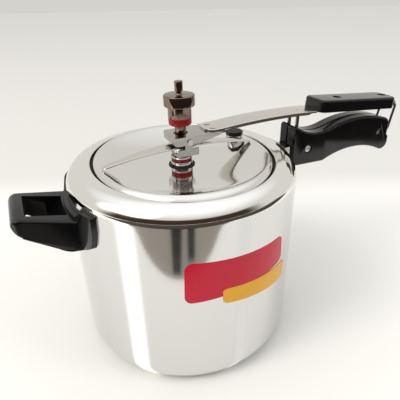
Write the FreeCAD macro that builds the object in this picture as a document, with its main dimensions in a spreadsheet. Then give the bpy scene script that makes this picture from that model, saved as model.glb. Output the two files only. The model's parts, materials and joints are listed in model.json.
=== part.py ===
"""Stovetop pressure cooker with an inner lid, as a parametric FreeCAD document.

Millimetres, +Z up. The origin is the centre of the pot's underside, +X points along the long
handle, and the plane y = 0 is the plane of symmetry of the handles and the lever.
"""
import FreeCAD, Part
import Sketcher

import os
import re
from math import atan2, cos, pi, sqrt

V = FreeCAD.Vector
doc = FreeCAD.newDocument("PressureCooker")

# ---------------------------------------------------------------- driving dimensions
SIZES = {
    # pot: one deep-drawn and spun aluminium shell
    "pot_radius": 105, "pot_height": 184, "wall": 3, "base_thick": 4,
    "base_corner": 19.5, "shoulder": 14.7, "mouth_rx": 82.3, "mouth_ry": 92, "mouth_round": 0.9,
    # inner lid: a raised oval panel in the mouth, and a rim under the pot's flange
    "lid_gap": 1.4, "lid_low": 171, "lid_crest": 186, "rim_top": 174.5, "rim_reach_x": 5,
    "rim_reach_y": 4.2, "lid_round": 7, "lid_wall": 3, "dish_radius": 300, "dish_low": 174.4,
    "gasket_top": 180.1, "gasket_reach": 4.2, "gasket_round": 2.5,
    # bowed strap across the lid
    "strap_top": 194.2, "strap_thick": 1.5, "strap_reach": 74, "strap_end_top": 185.3,
    "strap_half": 8, "strap_tip_half": 3.5, "spacer_radius": 8, "spacer_top": 192.5,
    # steam vent in the middle of the lid, and the stack around it
    "vent_radius": 5, "vent_bore": 2, "vent_low": 162, "vent_top": 219, "vent_bevel": 1,
    "washer_radius": 12.2, "washer_top": 175.5, "base_ring_radius": 10.2, "base_ring_top": 179,
    "seal_radius": 9.5, "seal_top": 182.2, "nut_rim_radius": 9.8, "nut_rim_top": 184,
    "nut_radius": 8.6, "nut_top": 186, "under_nut_flats": 22, "under_nut_low": 164.5,
    # bracket on the vent, which carries the lever's pivots
    "cheek_out": 12.2, "cheek_thick": 1.4, "bracket_left": -8, "bracket_right": 12.4,
    "bracket_floor": 187.5, "cheek_top": 192.5, "pivot_x": 3, "pivot_z": 199.5,
    "ear_radius": 3, "pivot_radius": 1.5, "pivot_head": 2.6, "pivot_out": 15.2,
    # yoke under the lever's inner end
    "yoke_left": -11, "yoke_right": 40, "yoke_half": 14, "yoke_thick": 1.4, "yoke_top": 204.8,
    "yoke_low": 197, "yoke_end_low": 198, "yoke_flange_right": 12.4, "yoke_slot": 6.6,
    # lever: a sprung steel strip, arched, then straight and sloping down inside its grip
    "lever_left": 21, "lever_flat_right": 37, "lever_flat_top": 206.6, "lever_arch_right": 150,
    "lever_arch_top": 206.8, "lever_arch_radius": 680, "lever_thick": 1.8, "lever_half": 12.3,
    "lever_lip": 1.4, "lever_lip_deep": 1.5, "lever_lip_left": 44, "lever_lip_right": 138,
    "lever_tail_half": 9.9, "lever_tail_left": 144, "lever_tail_right": 258.6,
    "lever_tail_top": 197.299, "lever_nose_round": 9, "curl_half": 6.8, "curl_radius": 3,
    # grip on the lever
    "grip_x": 150, "grip_z": 205, "grip_left": -3, "grip_right": 104.5, "grip_half": 15,
    "grip_high": 12, "grip_corner": 6, "grip_bulge": 45, "grip_edge": 2.4, "grip_play": 0.1,
    "grip_screw_near": 28, "grip_screw_far": 94, "grip_well": 4.6, "grip_well_deep": 5,
    "grip_screw_head": 4,
    # wire loop that swings over the end of the lower handle
    "loop_x": 258.6, "loop_z": 199, "loop_long": 29.6, "loop_half": 9.6, "loop_corner": 2.6,
    "wire_radius": 1.3, "loop_play": 0.06,
    # fulcrum: two legs under the lever that stand on a pin in the lower handle's head
    "fulcrum_x": 124.7, "fulcrum_z": 187, "fulcrum_pin": 1.8, "leg_out": 7.1, "leg_thick": 1.5,
    "leg_half": 1.7, "eye_radius": 4.1, "fulcrum_play": 0.06, "fulcrum_cap_half": 5,
    "cap_top": 206.3, "cap_gauge": 1.5,
    # lower handle: two shells about a steel tang
    "head_left": 118.5, "head_top": 194, "handle_low": 150, "handle_half": 13, "tang_half": 1,
    "handle_end": 251.6, "heel_end": 255, "heel_top": 163, "handle_edge": 2.4,
    "slot_left": 119.9, "slot_right": 129.5, "slot_half": 8.3, "slot_low": 181.5,
    "cavity_half": 9.2, "cavity_right": 150, "cavity_low": 155.6, "cavity_top": 173.4,
    "screw_near_x": 138, "screw_near_z": 168, "screw_far_x": 238, "screw_far_z": 170,
    "screw_radius": 2, "screw_well": 4.4, "screw_head": 3.6, "screw_inset": 1.2,
    # bracket that carries the lower handle, riveted to the pot
    "saddle_gauge": 1.8, "saddle_half": 18, "saddle_low": 152.5, "saddle_top": 177,
    "channel_half": 9, "channel_gauge": 1.6, "channel_low": 156, "channel_top": 173,
    "skirt_half": 21, "skirt_low": 139, "skirt_top": 151.5, "skirt_gauge": 3.4,
    # helper handle on the far side of the pot
    "helper_inner": -98, "helper_half_out": 26, "helper_half_in": 32, "helper_corner": 7.5,
    "helper_window_left": -141, "helper_window_right": -124, "helper_window_half": 18.5,
    "helper_ramp_right": -109, "helper_gauge": 3.8, "helper_seat": 105.2, "helper_edge": 2.2,
    "lug_half": 8.6, "lug_out": -118, "lug_low": 134.5, "lug_top": 146, "lug_gauge": 2,
    "lug_play": 0.3, "lug_screw_x": -113.5, "lug_seat": 132.4, "lug_screw_head": 1.8,
    # pressure weight that sits on the vent
    "weight_low": 212.5, "weight_band_top": 219.2, "weight_body_top": 229.4, "weight_cap_top": 239,
    "weight_body_radius": 10.5, "weight_cap_radius": 13.8, "weight_band_radius": 10.3,
    "weight_core": 8.6, "weight_bore": 5.4, "weight_roof": 219.4, "knob_neck": 2.5,
    "knob_radius": 3.65, "knob_low": 242.2, "knob_top": 250.5,
    # safety plug, to one side of the lever
    "plug_x": 66, "plug_y": 18, "plug_flats": 16, "plug_low": 187, "plug_top": 190.6,
    "plug_seat_radius": 8.4, "plug_stem": 5, "plug_stem_low": 169, "plug_nut_flats": 15,
    "plug_nut_top": 176.9,
    # plain sticker on the front of the pot
    "sticker_gauge": 0.3,
}

sheet = doc.addObject("Spreadsheet::Sheet", "Sizes")
for row, (alias, number) in enumerate(SIZES.items(), start=1):
    sheet.set(f"A{row}", alias)
    sheet.set(f"B{row}", str(number))
    sheet.setAlias(f"B{row}", alias)
doc.recompute()

LEVER_SLOPE = 5


# ---------------------------------------------------------------- helpers
def formula(text):
    """A formula of sheet names, with the sheet's own name put before each of them."""
    return re.sub(r"[a-z]\w*", lambda word: "Sizes." + word.group(0), str(text))


def value(text):
    """What a formula of sheet names comes to now."""
    return float(sheet.evalExpression(formula(text)))


def bind(thing, **properties):
    """Tie properties of an object to formulas of sheet names."""
    for name, text in properties.items():
        thing.setExpression(name, formula(text))


def put(thing, x=0, y=0, z=0, turn=None):
    """Place an object, with its position tied to the sheet."""
    thing.Placement = FreeCAD.Placement(V(value(x), value(y), value(z)), turn or FreeCAD.Rotation())
    for axis, text in zip("xyz", (x, y, z)):
        thing.setExpression(f"Placement.Base.{axis}", formula(text))
    return thing


ALONG = {
    "z": FreeCAD.Rotation(),
    "x": FreeCAD.Rotation(V(0, 1, 0), 90),
    "y": FreeCAD.Rotation(V(1, 0, 0), -90),
}


def cylinder(name, radius, long, x=0, y=0, z=0, along="z"):
    """A round bar that starts at x, y, z and runs along one axis."""
    bar = doc.addObject("Part::Cylinder", name)
    bind(bar, Radius=radius, Height=long)
    return put(bar, x, y, z, ALONG[along])


def block(name, x0, x1, y0, y1, z0, z1):
    """A box between two corners."""
    solid = doc.addObject("Part::Box", name)
    bind(solid, Length=f"({x1}) - ({x0})", Width=f"({y1}) - ({y0})", Height=f"({z1}) - ({z0})")
    return put(solid, x0, y0, z0)


def prism(name, flats, sides, low, high, x=0, y=0):
    """An upright nut or plug with so many flats, given its size across them."""
    solid = doc.addObject("Part::Prism", name)
    solid.Polygon = sides
    solid.setExpression("Circumradius", f"({formula(flats)}) / 2 / {cos(pi / sides)}")
    bind(solid, Height=f"({high}) - ({low})")
    return put(solid, x, y, low, FreeCAD.Rotation(V(0, 0, 1), 180 / sides))


def oval(name, rx, ry, low, high):
    """An upright oval prism, longer across the handles than along them."""
    ring = doc.addObject("Part::Ellipse", name + "_outline")
    bind(ring, MajorRadius=ry, MinorRadius=rx)
    put(ring, 0, 0, low, FreeCAD.Rotation(V(0, 0, 1), 90))
    solid = doc.addObject("Part::Extrusion", name)
    solid.Base = ring
    solid.DirMode = "Custom"
    solid.Dir = V(0, 0, 1)
    solid.Solid = True
    bind(solid, LengthFwd=f"({high}) - ({low})")
    return solid


def join(name, *solids):
    """Several solids made one."""
    result = doc.addObject("Part::MultiFuse", name)
    result.Shapes = list(solids)
    return result


def less(name, base, *tools):
    """The base with the tools cut away."""
    result = doc.addObject("Part::Cut", name)
    result.Base = base
    result.Tool = tools[0] if len(tools) == 1 else join(name + "_tools", *tools)
    return result


def shared(name, *solids):
    """What several solids have in common."""
    result = doc.addObject("Part::MultiCommon", name)
    result.Shapes = list(solids)
    return result


def group(name, *solids):
    """Separate solids kept together, for fasteners that share a node."""
    result = doc.addObject("Part::Compound", name)
    result.Links = list(solids)
    return result


def rounded(name, base, radius, wanted):
    """The base with the edges that wanted() picks rounded off."""
    doc.recompute()
    result = doc.addObject("Part::Fillet", name)
    result.Base = base
    size = value(radius)
    result.Edges = [(i, size, size) for i, edge in enumerate(base.Shape.Edges, start=1)
                    if wanted(edge)]
    return result


def sketch_on(body, role, offset=0):
    """A sketch on one of the body's own origin planes, moved along the plane's normal."""
    sketch = body.newObject("Sketcher::SketchObject", body.Name + "_sketch")
    plane = next(f for f in body.Origin.OriginFeatures if f.Role == role)
    sketch.AttachmentSupport = [(plane, "")]
    sketch.MapMode = "FlatFace"
    sketch.setExpression("AttachmentOffset.Base.z", formula(offset))
    return sketch


def pin_down(sketch, kind, where, text):
    """One dimension of a sketch, tied to the sheet."""
    number = sketch.addConstraint(Sketcher.Constraint(kind, *where, value(text)))
    sketch.setExpression(f"Constraints[{number}]", formula(text))


def arc_between(start, end, radius):
    """The short arc from start to end, anticlockwise; the end comes first if radius < 0."""
    if radius < 0:
        start, end = end, start
    chord = end - start
    inward = V(-chord.y, chord.x, 0).normalize()
    centre = (start + end) / 2 + inward * sqrt(radius ** 2 - (chord.Length / 2) ** 2)
    begin = atan2(start.y - centre.y, start.x - centre.x)
    finish = atan2(end.y - centre.y, end.x - centre.x)
    return Part.ArcOfCircle(Part.Circle(centre, V(0, 0, 1), abs(radius)), begin,
                            finish + 2 * pi if finish < begin else finish)


def outline(sketch, *corners):
    """A closed loop through corners (x, y), each tied to the sheet.

    A corner (x, y, radius) is reached by an arc: anticlockwise as written, clockwise where the
    radius has a minus sign. The others are reached by straight lines.
    """
    spots = [V(value(corner[0]), value(corner[1]), 0) for corner in corners]
    starts, ends = [], []
    for i in range(len(corners)):
        after = (i + 1) % len(corners)
        start, end = spots[i], spots[after]
        first, last = 1, 2
        if len(corners[after]) == 3:
            radius = corners[after][2]
            number = sketch.addGeometry(arc_between(start, end, value(radius)), False)
            pin_down(sketch, "Radius", (number,), str(radius).lstrip("-"))
            if value(radius) < 0:
                first, last = 2, 1
        else:
            number = sketch.addGeometry(Part.LineSegment(start, end), False)
        starts.append((number, first))
        ends.append((number, last))
    for i, corner in enumerate(corners):
        sketch.addConstraint(Sketcher.Constraint("Coincident", *ends[i - 1], *starts[i]))
        pin_down(sketch, "DistanceX", (-1, 1, *starts[i]), corner[0])
        pin_down(sketch, "DistanceY", (-1, 1, *starts[i]), corner[1])
    return sketch


def new_body(name):
    return doc.addObject("PartDesign::Body", name)


def spun(name, *corners):
    """A body of revolution about the Z axis, from a profile (radius, height)."""
    body = new_body(name)
    sketch = outline(sketch_on(body, "XZ_Plane"), *corners)
    turn = body.newObject("PartDesign::Revolution", name + "_turn")
    turn.Profile = sketch
    turn.ReferenceAxis = (sketch, ["V_Axis"])
    turn.Angle = 360
    return body


def pad(body, plane, long, *corners, offset=0, both=False, back=False, cut=False):
    """A pad, or a pocket if cut, of an outline on one of the body's planes."""
    sketch = outline(sketch_on(body, plane, offset), *corners)
    kind = "Pocket" if cut else "Pad"
    step = body.newObject("PartDesign::" + kind, f"{body.Name}_{kind.lower()}")
    step.Profile = sketch
    step.Midplane = both
    step.Reversed = back
    bind(step, Length=long)
    return body


def corners_of(x0, x1, y0, y1):
    """The four corners of a rectangle, for an outline."""
    return (x0, y0), (x1, y0), (x1, y1), (x0, y1)


NODES = []


def node(name, thing):
    """Keep an object as one sub-part, under the name that its file has."""
    thing.Label = name
    NODES.append(thing)
    return thing


# ---------------------------------------------------------------- pot
def wall_rivets(name, side, spots, outer):
    """Rivets through the pot's wall at (y, z) spots, and the holes that they need.

    side is 1 towards the long handle and -1 towards the helper handle. Each has a head on the
    bracket, whose outer radius is given, and an upset tail inside the pot.
    """
    inside = "pot_radius - wall"
    far = side < 0
    solids, holes = [], []
    for i, (y, z) in enumerate(spots):
        shank = cylinder(f"{name}_shank{i}", 2, f"({outer}) - ({inside}) + 2.5",
                         f"-({outer}) - 1" if far else f"{inside} - 1.5", y, z, "x")
        head = cylinder(f"{name}_head{i}", 4, 3,
                        f"-({outer}) - 2" if far else f"({outer}) - 1", y, z, "x")
        tail = cylinder(f"{name}_tail{i}", 3.4, 2.5,
                        f"-({inside}) - 0.5" if far else f"{inside} - 2", y, z, "x")
        drum = cylinder(f"{name}_drum{i}", outer, "pot_height")
        bore = cylinder(f"{name}_bore{i}", inside, "pot_height")
        solids.append(join(f"{name}_rivet{i}", less(f"{name}_outside{i}", head, drum), shank,
                           shared(f"{name}_inside{i}", tail, bore)))
        holes.append(cylinder(f"{name}_hole{i}", 2, f"({outer}) + 3",
                              f"-({outer}) - 3" if far else 0, y, z, "x"))
    return group(name + "_group", *solids), holes


SADDLE_OUTER = "pot_radius + 0.2 + saddle_gauge"
HANDLE_RIVETS = [(-13.4, 157), (13.4, 157), (-13.4, 165.6), (13.4, 165.6)]
LUG_OUTER = "pot_radius + 0.2 + lug_gauge"
HELPER_RIVETS = [(-4.4, 141), (4.4, 141)]
handle_rivets, handle_holes = wall_rivets("handle_rivet", 1, HANDLE_RIVETS, SADDLE_OUTER)
helper_rivets, helper_holes = wall_rivets("helper_rivet", -1, HELPER_RIVETS, LUG_OUTER)

INNER_CORNER = "(base_corner - wall)"
shell = spun(
    "pot_shell",
    (0, 0),
    ("pot_radius - base_corner", 0),
    ("pot_radius", "base_corner", "base_corner"),
    ("pot_radius", "pot_height - shoulder"),
    ("pot_radius - shoulder", "pot_height", "shoulder"),
    (0, "pot_height"),
    (0, "pot_height - wall"),
    ("pot_radius - shoulder", "pot_height - wall"),
    ("pot_radius - wall", "pot_height - shoulder", "-(shoulder - wall)"),
    ("pot_radius - wall", f"base_thick + {INNER_CORNER}"),
    (f"pot_radius - wall - {INNER_CORNER}", "base_thick", f"-{INNER_CORNER}"),
    (0, "base_thick"),
)
mouth = oval("mouth", "mouth_rx", "mouth_ry", "pot_height - 2 * wall", "pot_height + wall")
pot = less("pot_with_mouth", shell, mouth, *handle_holes, *helper_holes)


def on_mouth_edge(edge):
    """The mouth's two long edges, above and below the flange, lie within the oval."""
    box = edge.BoundBox
    return box.ZMin > value("pot_height - 1.5 * wall") and box.XLength < value("2 * mouth_rx") + 1


node("pot_body", rounded("pot_rounded", pot, "mouth_round", on_mouth_edge))

# A plain two-part sticker follows the wall.
sticker_field = pad(new_body("sticker_field"), "XZ_Plane", "pot_radius + 2",
                    (-42, 99), (53, 108), (50.5, 135.5), (-41, 139))
sticker_tab = pad(new_body("sticker_tab"), "XZ_Plane", "pot_radius + 2",
                  (-11.5, 94), (59, 85), (59, 104), (-12, 109))
sticker_skin = less("sticker_skin",
                    cylinder("sticker_outer", "pot_radius + sticker_gauge", "pot_height"),
                    cylinder("sticker_inner", "pot_radius", "pot_height"))
node("side_sticker", shared("sticker_shape", sticker_skin,
                            join("sticker_outline", sticker_field, sticker_tab)))

# ---------------------------------------------------------------- helper handle
helper_side = pad(
    new_body("helper_side"), "XZ_Plane", 120,
    ("helper_inner", 129.5),
    ("helper_inner", 155.8),
    (-144, 166.8),
    (-152.6, 161.5, 7),
    (-144.5, 149.8, 16),
    (-121.5, 135.2),
    (-112, 130.2, 22),
    both=True)
helper_plan = pad(
    new_body("helper_plan"), "XY_Plane", 80,
    ("helper_inner", "-helper_half_in"),
    ("helper_inner", "helper_half_in"),
    ("-153 + helper_corner", "helper_half_out"),
    (-153, "helper_half_out - helper_corner", "helper_corner"),
    (-153, "-helper_half_out + helper_corner"),
    ("-153 + helper_corner", "-helper_half_out", "helper_corner"),
    offset=120)
helper_solid = rounded("helper_solid", shared("helper_blank", helper_side, helper_plan),
                       "helper_edge", lambda edge: edge.BoundBox.ZMin > 150
                       and edge.BoundBox.XMin < -103)
flange_outline = pad(
    new_body("flange_outline"), "YZ_Plane", 112,
    (-22, 128, 60),
    (22, 128),
    (44, 137.5, 60),
    (46, 141, 4),
    (49.5, 154, 60),
    (50, 166.3),
    (48, 168.3, 2),
    (40, 168.3),
    (36.5, 166.8, 5),
    (29.5, 161.8),
    (27, 160.8, -3.5),
    (-27, 160.8),
    (-29.5, 161.8, -3.5),
    (-36.5, 166.8),
    (-40, 168.3, 5),
    (-48, 168.3),
    (-50, 166.3, 2),
    (-49.5, 154),
    (-46, 141, 60),
    (-44, 137.5, 4),
    back=True)
helper_flange = shared("helper_flange", flange_outline,
                       cylinder("flange_drum", "helper_seat + helper_gauge", "pot_height"))
helper_window = block("helper_window", "helper_window_left", "helper_window_right",
                      "-helper_window_half", "helper_window_half", 120, 180)
helper_ramp = pad(
    new_body("helper_ramp"), "XZ_Plane", "2 * helper_window_half",
    ("helper_window_right", 145),
    ("helper_ramp_right", 159.5),
    ("helper_ramp_right", 175),
    ("helper_window_right - 5", 175),
    ("helper_window_right - 5", 145),
    both=True)
lug_pocket = block("lug_pocket", "lug_out - lug_play", -90, "-lug_half - lug_play",
                   "lug_half + lug_play", "lug_low - lug_play", "lug_top + lug_play")
helper_bore = cylinder("helper_bore", 2, 20, "lug_screw_x", 0, 120)
helper_counterbore = cylinder("helper_counterbore", 4, "lug_seat - 120", "lug_screw_x", 0, 120)
node("helper_handle", less("helper_shape", join("helper_whole", helper_solid, helper_flange),
                           cylinder("helper_wall", "helper_seat", "pot_height"),
                           helper_window, helper_ramp, lug_pocket, helper_bore,
                           helper_counterbore))

lug_block = block("lug_block", "lug_out", -100, "-lug_half", "lug_half", "lug_low", "lug_top")
lug_skin = less("lug_skin", lug_block, cylinder("lug_wall", "pot_radius + 0.2", "pot_height"))
lug_room = less("lug_room", block("lug_room_block", "lug_out + lug_gauge", -100, -20, 20,
                                  "lug_low + lug_gauge", "lug_top + 1"),
                cylinder("lug_back", LUG_OUTER, "pot_height"))
node("helper_lug", less("helper_lug_shape", lug_skin, lug_room,
                        cylinder("lug_thread", 2, 6, "lug_screw_x", 0, "lug_low - 1"),
                        *[cylinder(f"lug_hole{i}", 2, 12, -112, y, z, "x")
                          for i, (y, z) in enumerate(HELPER_RIVETS)]))
node("helper_rivets", helper_rivets)
node("helper_screw", join("helper_screw_shape",
                          cylinder("helper_screw_head", 3.6, "lug_screw_head", "lug_screw_x", 0,
                                   "lug_seat - lug_screw_head"),
                          cylinder("helper_screw_shank", 2, 10, "lug_screw_x", 0, "lug_seat - 1")))

# ---------------------------------------------------------------- lower handle
HANDLE_SIDE = (
    ("head_left", "handle_low + 1.5"),
    (160, "handle_low"),
    (201, 158.6, -95),
    (244.5, 148, -95),
    ("heel_end", 155.5, 8.5),
    ("heel_end - 0.4", "heel_top"),
    ("handle_end", "heel_top + 3"),
    ("handle_end", 177),
    (245.5, 185.6, 9),
    (168, 186.2, 128),
    (131, 188.4, -50),
    (121.5, "head_top - 0.3"),
    ("head_left", "head_top - 3.2", 3.2),
)


SCREWS = [("screw_near_x", "screw_near_z"), ("screw_far_x", "screw_far_z")]


def on_outer_rim(edge):
    """The edges of the far half's outer face."""
    box = edge.BoundBox
    return abs(box.YMin - value("handle_half")) < 0.01 and abs(box.YMax - box.YMin) < 0.01


far_half = rounded("far_half", pad(new_body("far_half_side"), "XZ_Plane", "handle_half - tang_half",
                                   *HANDLE_SIDE, offset="-tang_half", back=True),
                   "handle_edge", on_outer_rim)
# The head is hollow over the steel channel, and open above for the fulcrum's legs.
far_hollow = less(
    "far_hollow", far_half,
    block("leg_slot", "slot_left", "slot_right", "-slot_half", "slot_half", "slot_low", 200),
    block("channel_cavity", "head_left - 5", "cavity_right", "-cavity_half", "cavity_half",
          "cavity_low", "cavity_top"),
    cylinder("handle_pin_hole", "fulcrum_pin", 11.2, "fulcrum_x", 0, "fulcrum_z", "y"),
    *[cylinder(f"handle_screw_hole{i}", "screw_radius", 15, x, 0, z, "y")
      for i, (x, z) in enumerate(SCREWS)])
near_hollow = doc.addObject("Part::Mirroring", "near_hollow")
near_hollow.Source = far_hollow
near_hollow.Normal = V(0, 1, 0)


def with_wells(name, half, start):
    """A half of the handle with a well for each screw's head or nut, from y = start outwards."""
    return less(name, half, *[cylinder(f"{name}_well{i}", "screw_well", 5.5, x, start, z, "y")
                              for i, (x, z) in enumerate(SCREWS)])


node("body_handle_near_shell", with_wells("near_shell", near_hollow, "-handle_half - 2"))
node("body_handle_far_shell", with_wells("far_shell", far_hollow, "handle_half - 3.5"))

saddle_plate = less(
    "saddle_plate",
    shared("saddle_blank",
           block("saddle_block", 95, 110, "-saddle_half", "saddle_half", "saddle_low", "saddle_top"),
           cylinder("saddle_drum", SADDLE_OUTER, "pot_height")),
    cylinder("saddle_wall", "pot_radius + 0.2", "pot_height"))
channel = less(
    "channel",
    block("channel_block", "pot_radius", "cavity_right - 0.3", "-channel_half", "channel_half",
          "channel_low", "channel_top"),
    block("channel_room", 100, 160, "-channel_half + channel_gauge", "channel_half - channel_gauge",
          "channel_low + channel_gauge", "channel_top - channel_gauge"),
    cylinder("channel_wall", "pot_radius + 0.2", "pot_height"))
TANG_SIDE = (
    (133, "handle_low + 2"),
    (160, "handle_low + 1.5"),
    (201, 160.1, -95),
    (244.5, 149.5, -95),
    ("heel_end - 1.5", 155.5, 8),
    ("heel_end - 1.9", "heel_top"),
    ("handle_end - 1", "heel_top + 3"),
    ("handle_end - 1", 176),
    (244.5, 184.2, 9),
    (168, 184.7, 128),
    (133, 186, -50),
)
tang = pad(new_body("tang"), "XZ_Plane", "2 * tang_half", *TANG_SIDE, both=True)
tang_screws = [cylinder(f"tang_hole{i}", "screw_radius", 30, x, -15, z, "y")
               for i, (x, z) in enumerate(SCREWS)]
node("handle_bracket", less("handle_bracket_shape",
                            join("bracket_whole", saddle_plate, channel, tang), *tang_screws,
                            *[cylinder(f"saddle_hole{i}", 2, 10, 101, y, z, "x")
                              for i, (y, z) in enumerate(HANDLE_RIVETS)]))
node("bracket_rivets", handle_rivets)

skirt_outline = pad(
    new_body("skirt_outline"), "YZ_Plane", 115,
    (-10, "skirt_low", 14),
    (10, "skirt_low"),
    ("skirt_half", "skirt_top - 3", 14),
    ("skirt_half", "skirt_top"),
    ("-skirt_half", "skirt_top"),
    ("-skirt_half", "skirt_top - 3"))
node("handle_skirt", less("handle_skirt_shape",
                          shared("skirt_blank", skirt_outline,
                                 cylinder("skirt_drum", "pot_radius + 0.2 + skirt_gauge",
                                          "pot_height")),
                          cylinder("skirt_wall", "pot_radius + 0.2", "pot_height")))


def handle_screw(i, x, z):
    """A machine screw from the near side of the lower handle."""
    start = "-handle_half + screw_inset"
    head = cylinder(f"handle_screw_head{i}", "screw_head", 2.2, x, start, z, "y")
    shank = cylinder(f"handle_screw_shank{i}", "screw_radius", 23, x, f"{start} + 1", z, "y")
    drive = block(f"handle_screw_drive{i}", f"{x} - screw_head", f"{x} + screw_head",
                  f"{start} - 1", f"{start} + 0.9", f"{z} - 0.5", f"{z} + 0.5")
    return less(f"handle_screw{i}", join(f"handle_screw_blank{i}", head, shank), drive)


def handle_nut(i, x, z):
    """The nut at the far end of a handle screw."""
    nut = doc.addObject("Part::Prism", f"handle_nut{i}")
    nut.Polygon = 6
    nut.Circumradius = 4
    nut.Height = 2.3
    put(nut, x, "handle_half - 3.5", z, ALONG["y"])
    return less(f"handle_nut_shape{i}", nut,
                cylinder(f"handle_nut_hole{i}", "screw_radius", 8, x, "handle_half - 5", z, "y"))


node("body_handle_screws", group("body_handle_screw_pair",
                                 *[handle_screw(i, x, z) for i, (x, z) in enumerate(SCREWS)]))
node("body_handle_nuts", group("body_handle_nut_pair",
                               *[handle_nut(i, x, z) for i, (x, z) in enumerate(SCREWS)]))
node("fulcrum_pin", cylinder("fulcrum_pin_bar", "fulcrum_pin", 22.4, "fulcrum_x", -11.2,
                             "fulcrum_z", "y"))

# ---------------------------------------------------------------- lever
LEVER_TOP = (("lever_flat_right", "lever_flat_top"),
             ("lever_arch_right", "lever_arch_top", "-lever_arch_radius"),
             ("lever_tail_right", "lever_tail_top"))


def strip_side(name, deep):
    """The strip's side view, drawn to a depth below its top."""
    return pad(
        new_body(name), "XZ_Plane", "2 * lever_half",
        ("lever_left", f"lever_flat_top - ({deep})"),
        ("lever_left", "lever_flat_top"),
        *LEVER_TOP,
        ("lever_tail_right", f"lever_tail_top - ({deep})"),
        ("lever_arch_right", f"lever_arch_top - ({deep})"),
        ("lever_flat_right", f"lever_flat_top - ({deep})", "lever_arch_radius"),
        both=True)


strip = strip_side("strip", "lever_thick")
strip_plan = pad(
    new_body("strip_plan"), "XY_Plane", 40,
    ("lever_left + lever_nose_round", "-lever_half", "lever_nose_round"),
    ("lever_tail_left", "-lever_half"),
    ("lever_tail_left + 2", "-lever_tail_half"),
    ("lever_tail_right - 6", "-lever_tail_half"),
    ("lever_tail_right - 3.5", "-curl_half"),
    ("lever_tail_right + 5", "-curl_half"),
    ("lever_tail_right + 5", "curl_half"),
    ("lever_tail_right - 3.5", "curl_half"),
    ("lever_tail_right - 6", "lever_tail_half"),
    ("lever_tail_left + 2", "lever_tail_half"),
    ("lever_tail_left", "lever_half"),
    ("lever_left + lever_nose_round", "lever_half"),
    ("lever_left", "lever_half - lever_nose_round", "lever_nose_round"),
    ("lever_left", "-lever_half + lever_nose_round"),
    offset=190)
lips = shared("lips", strip_side("lip", "lever_thick + lever_lip_deep"), less(
    "lip_rails",
    block("lip_block", "lever_lip_left", "lever_lip_right", "-lever_half", "lever_half", 190, 220),
    block("lip_room", 30, 160, "-lever_half + lever_lip", "lever_half - lever_lip", 190, 220)))
curl = cylinder("curl", "curl_radius", "2 * curl_half", "loop_x", "-curl_half", "loop_z", "y")
curl_bore = cylinder("curl_bore", "wire_radius + loop_play", 30, "loop_x", -15, "loop_z", "y")
GRIP_SCREWS = ["grip_screw_near", "grip_screw_far"]
grip_turn = FreeCAD.Rotation(V(0, 1, 0), LEVER_SLOPE)


def in_grip(name, thing):
    """Stand a piece made square to the grip on the lever's sloping tail."""
    held = doc.addObject("Part::Compound", name)
    held.Links = [thing]
    return put(held, "grip_x", 0, "grip_z", grip_turn)


def grip_hole(name, radius, low, high):
    """Upright holes at both of the grip's screws."""
    return [cylinder(f"{name}{i}", radius, f"({high}) - ({low})", x, 0, low)
            for i, x in enumerate(GRIP_SCREWS)]


strip_holes = in_grip("strip_holes", group("strip_hole_pair", *grip_hole("strip_hole", 2, -3, 4)))
yoke_rivet_spots = [(29, -6.5), (29, 6.5)]
fulcrum_rivet_spots = [("fulcrum_x - 3", 0), ("fulcrum_x + 3", 0)]
node("lever_strip", less(
    "lever_strip_shape",
    join("strip_whole", shared("strip_blank", strip, strip_plan), lips, curl),
    curl_bore, strip_holes,
    *[cylinder(f"strip_yoke_hole{i}", 2, 8, x, y, 201) for i, (x, y) in enumerate(yoke_rivet_spots)],
    *[cylinder(f"strip_post_hole{i}", 1.2, 8, x, y, 203)
      for i, (x, y) in enumerate(fulcrum_rivet_spots)]))

yoke = pad(
    new_body("yoke"), "XZ_Plane", "2 * yoke_half",
    ("yoke_left", "yoke_end_low"),
    ("yoke_left", "yoke_top - 1.2"),
    ("yoke_left + 1.2", "yoke_top", "-1.2"),
    ("yoke_right", "yoke_top"),
    ("yoke_right", "yoke_top - yoke_thick"),
    ("yoke_flange_right", "yoke_low"),
    ("yoke_left + 2", "yoke_low"),
    both=True)
pad(yoke, "XZ_Plane", "2 * (yoke_half - yoke_thick)",
    *corners_of("yoke_left + yoke_thick", "yoke_right + 1", 190, "yoke_top - yoke_thick"),
    both=True, cut=True)
yoke_slot = join("yoke_slot_shape",
                 cylinder("yoke_slot_round", "yoke_slot", 20, 0, 0, 195),
                 block("yoke_end_trim", "yoke_left - 1", "yoke_left + 3", "-yoke_half + 2.5",
                       "yoke_half - 2.5", 190, "yoke_end_low"))
node("lever_yoke", less(
    "lever_yoke_shape", yoke, yoke_slot,
    cylinder("yoke_pivot_hole", "pivot_radius + 0.06", 40, "pivot_x", -20, "pivot_z", "y"),
    *[cylinder(f"yoke_hole{i}", 2, 8, x, y, 200) for i, (x, y) in enumerate(yoke_rivet_spots)]))
node("yoke_rivets", group("yoke_rivet_pair", *[
    join(f"yoke_rivet{i}", cylinder(f"yoke_rivet_shank{i}", 2, "lever_flat_top - 203", x, y, 203),
         cylinder(f"yoke_rivet_tail{i}", 3, 0.8, x, y, "yoke_top - yoke_thick - 0.8"),
         cylinder(f"yoke_rivet_head{i}", 3, 0.5, x, y, "lever_flat_top"))
    for i, (x, y) in enumerate(yoke_rivet_spots)]))

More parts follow.
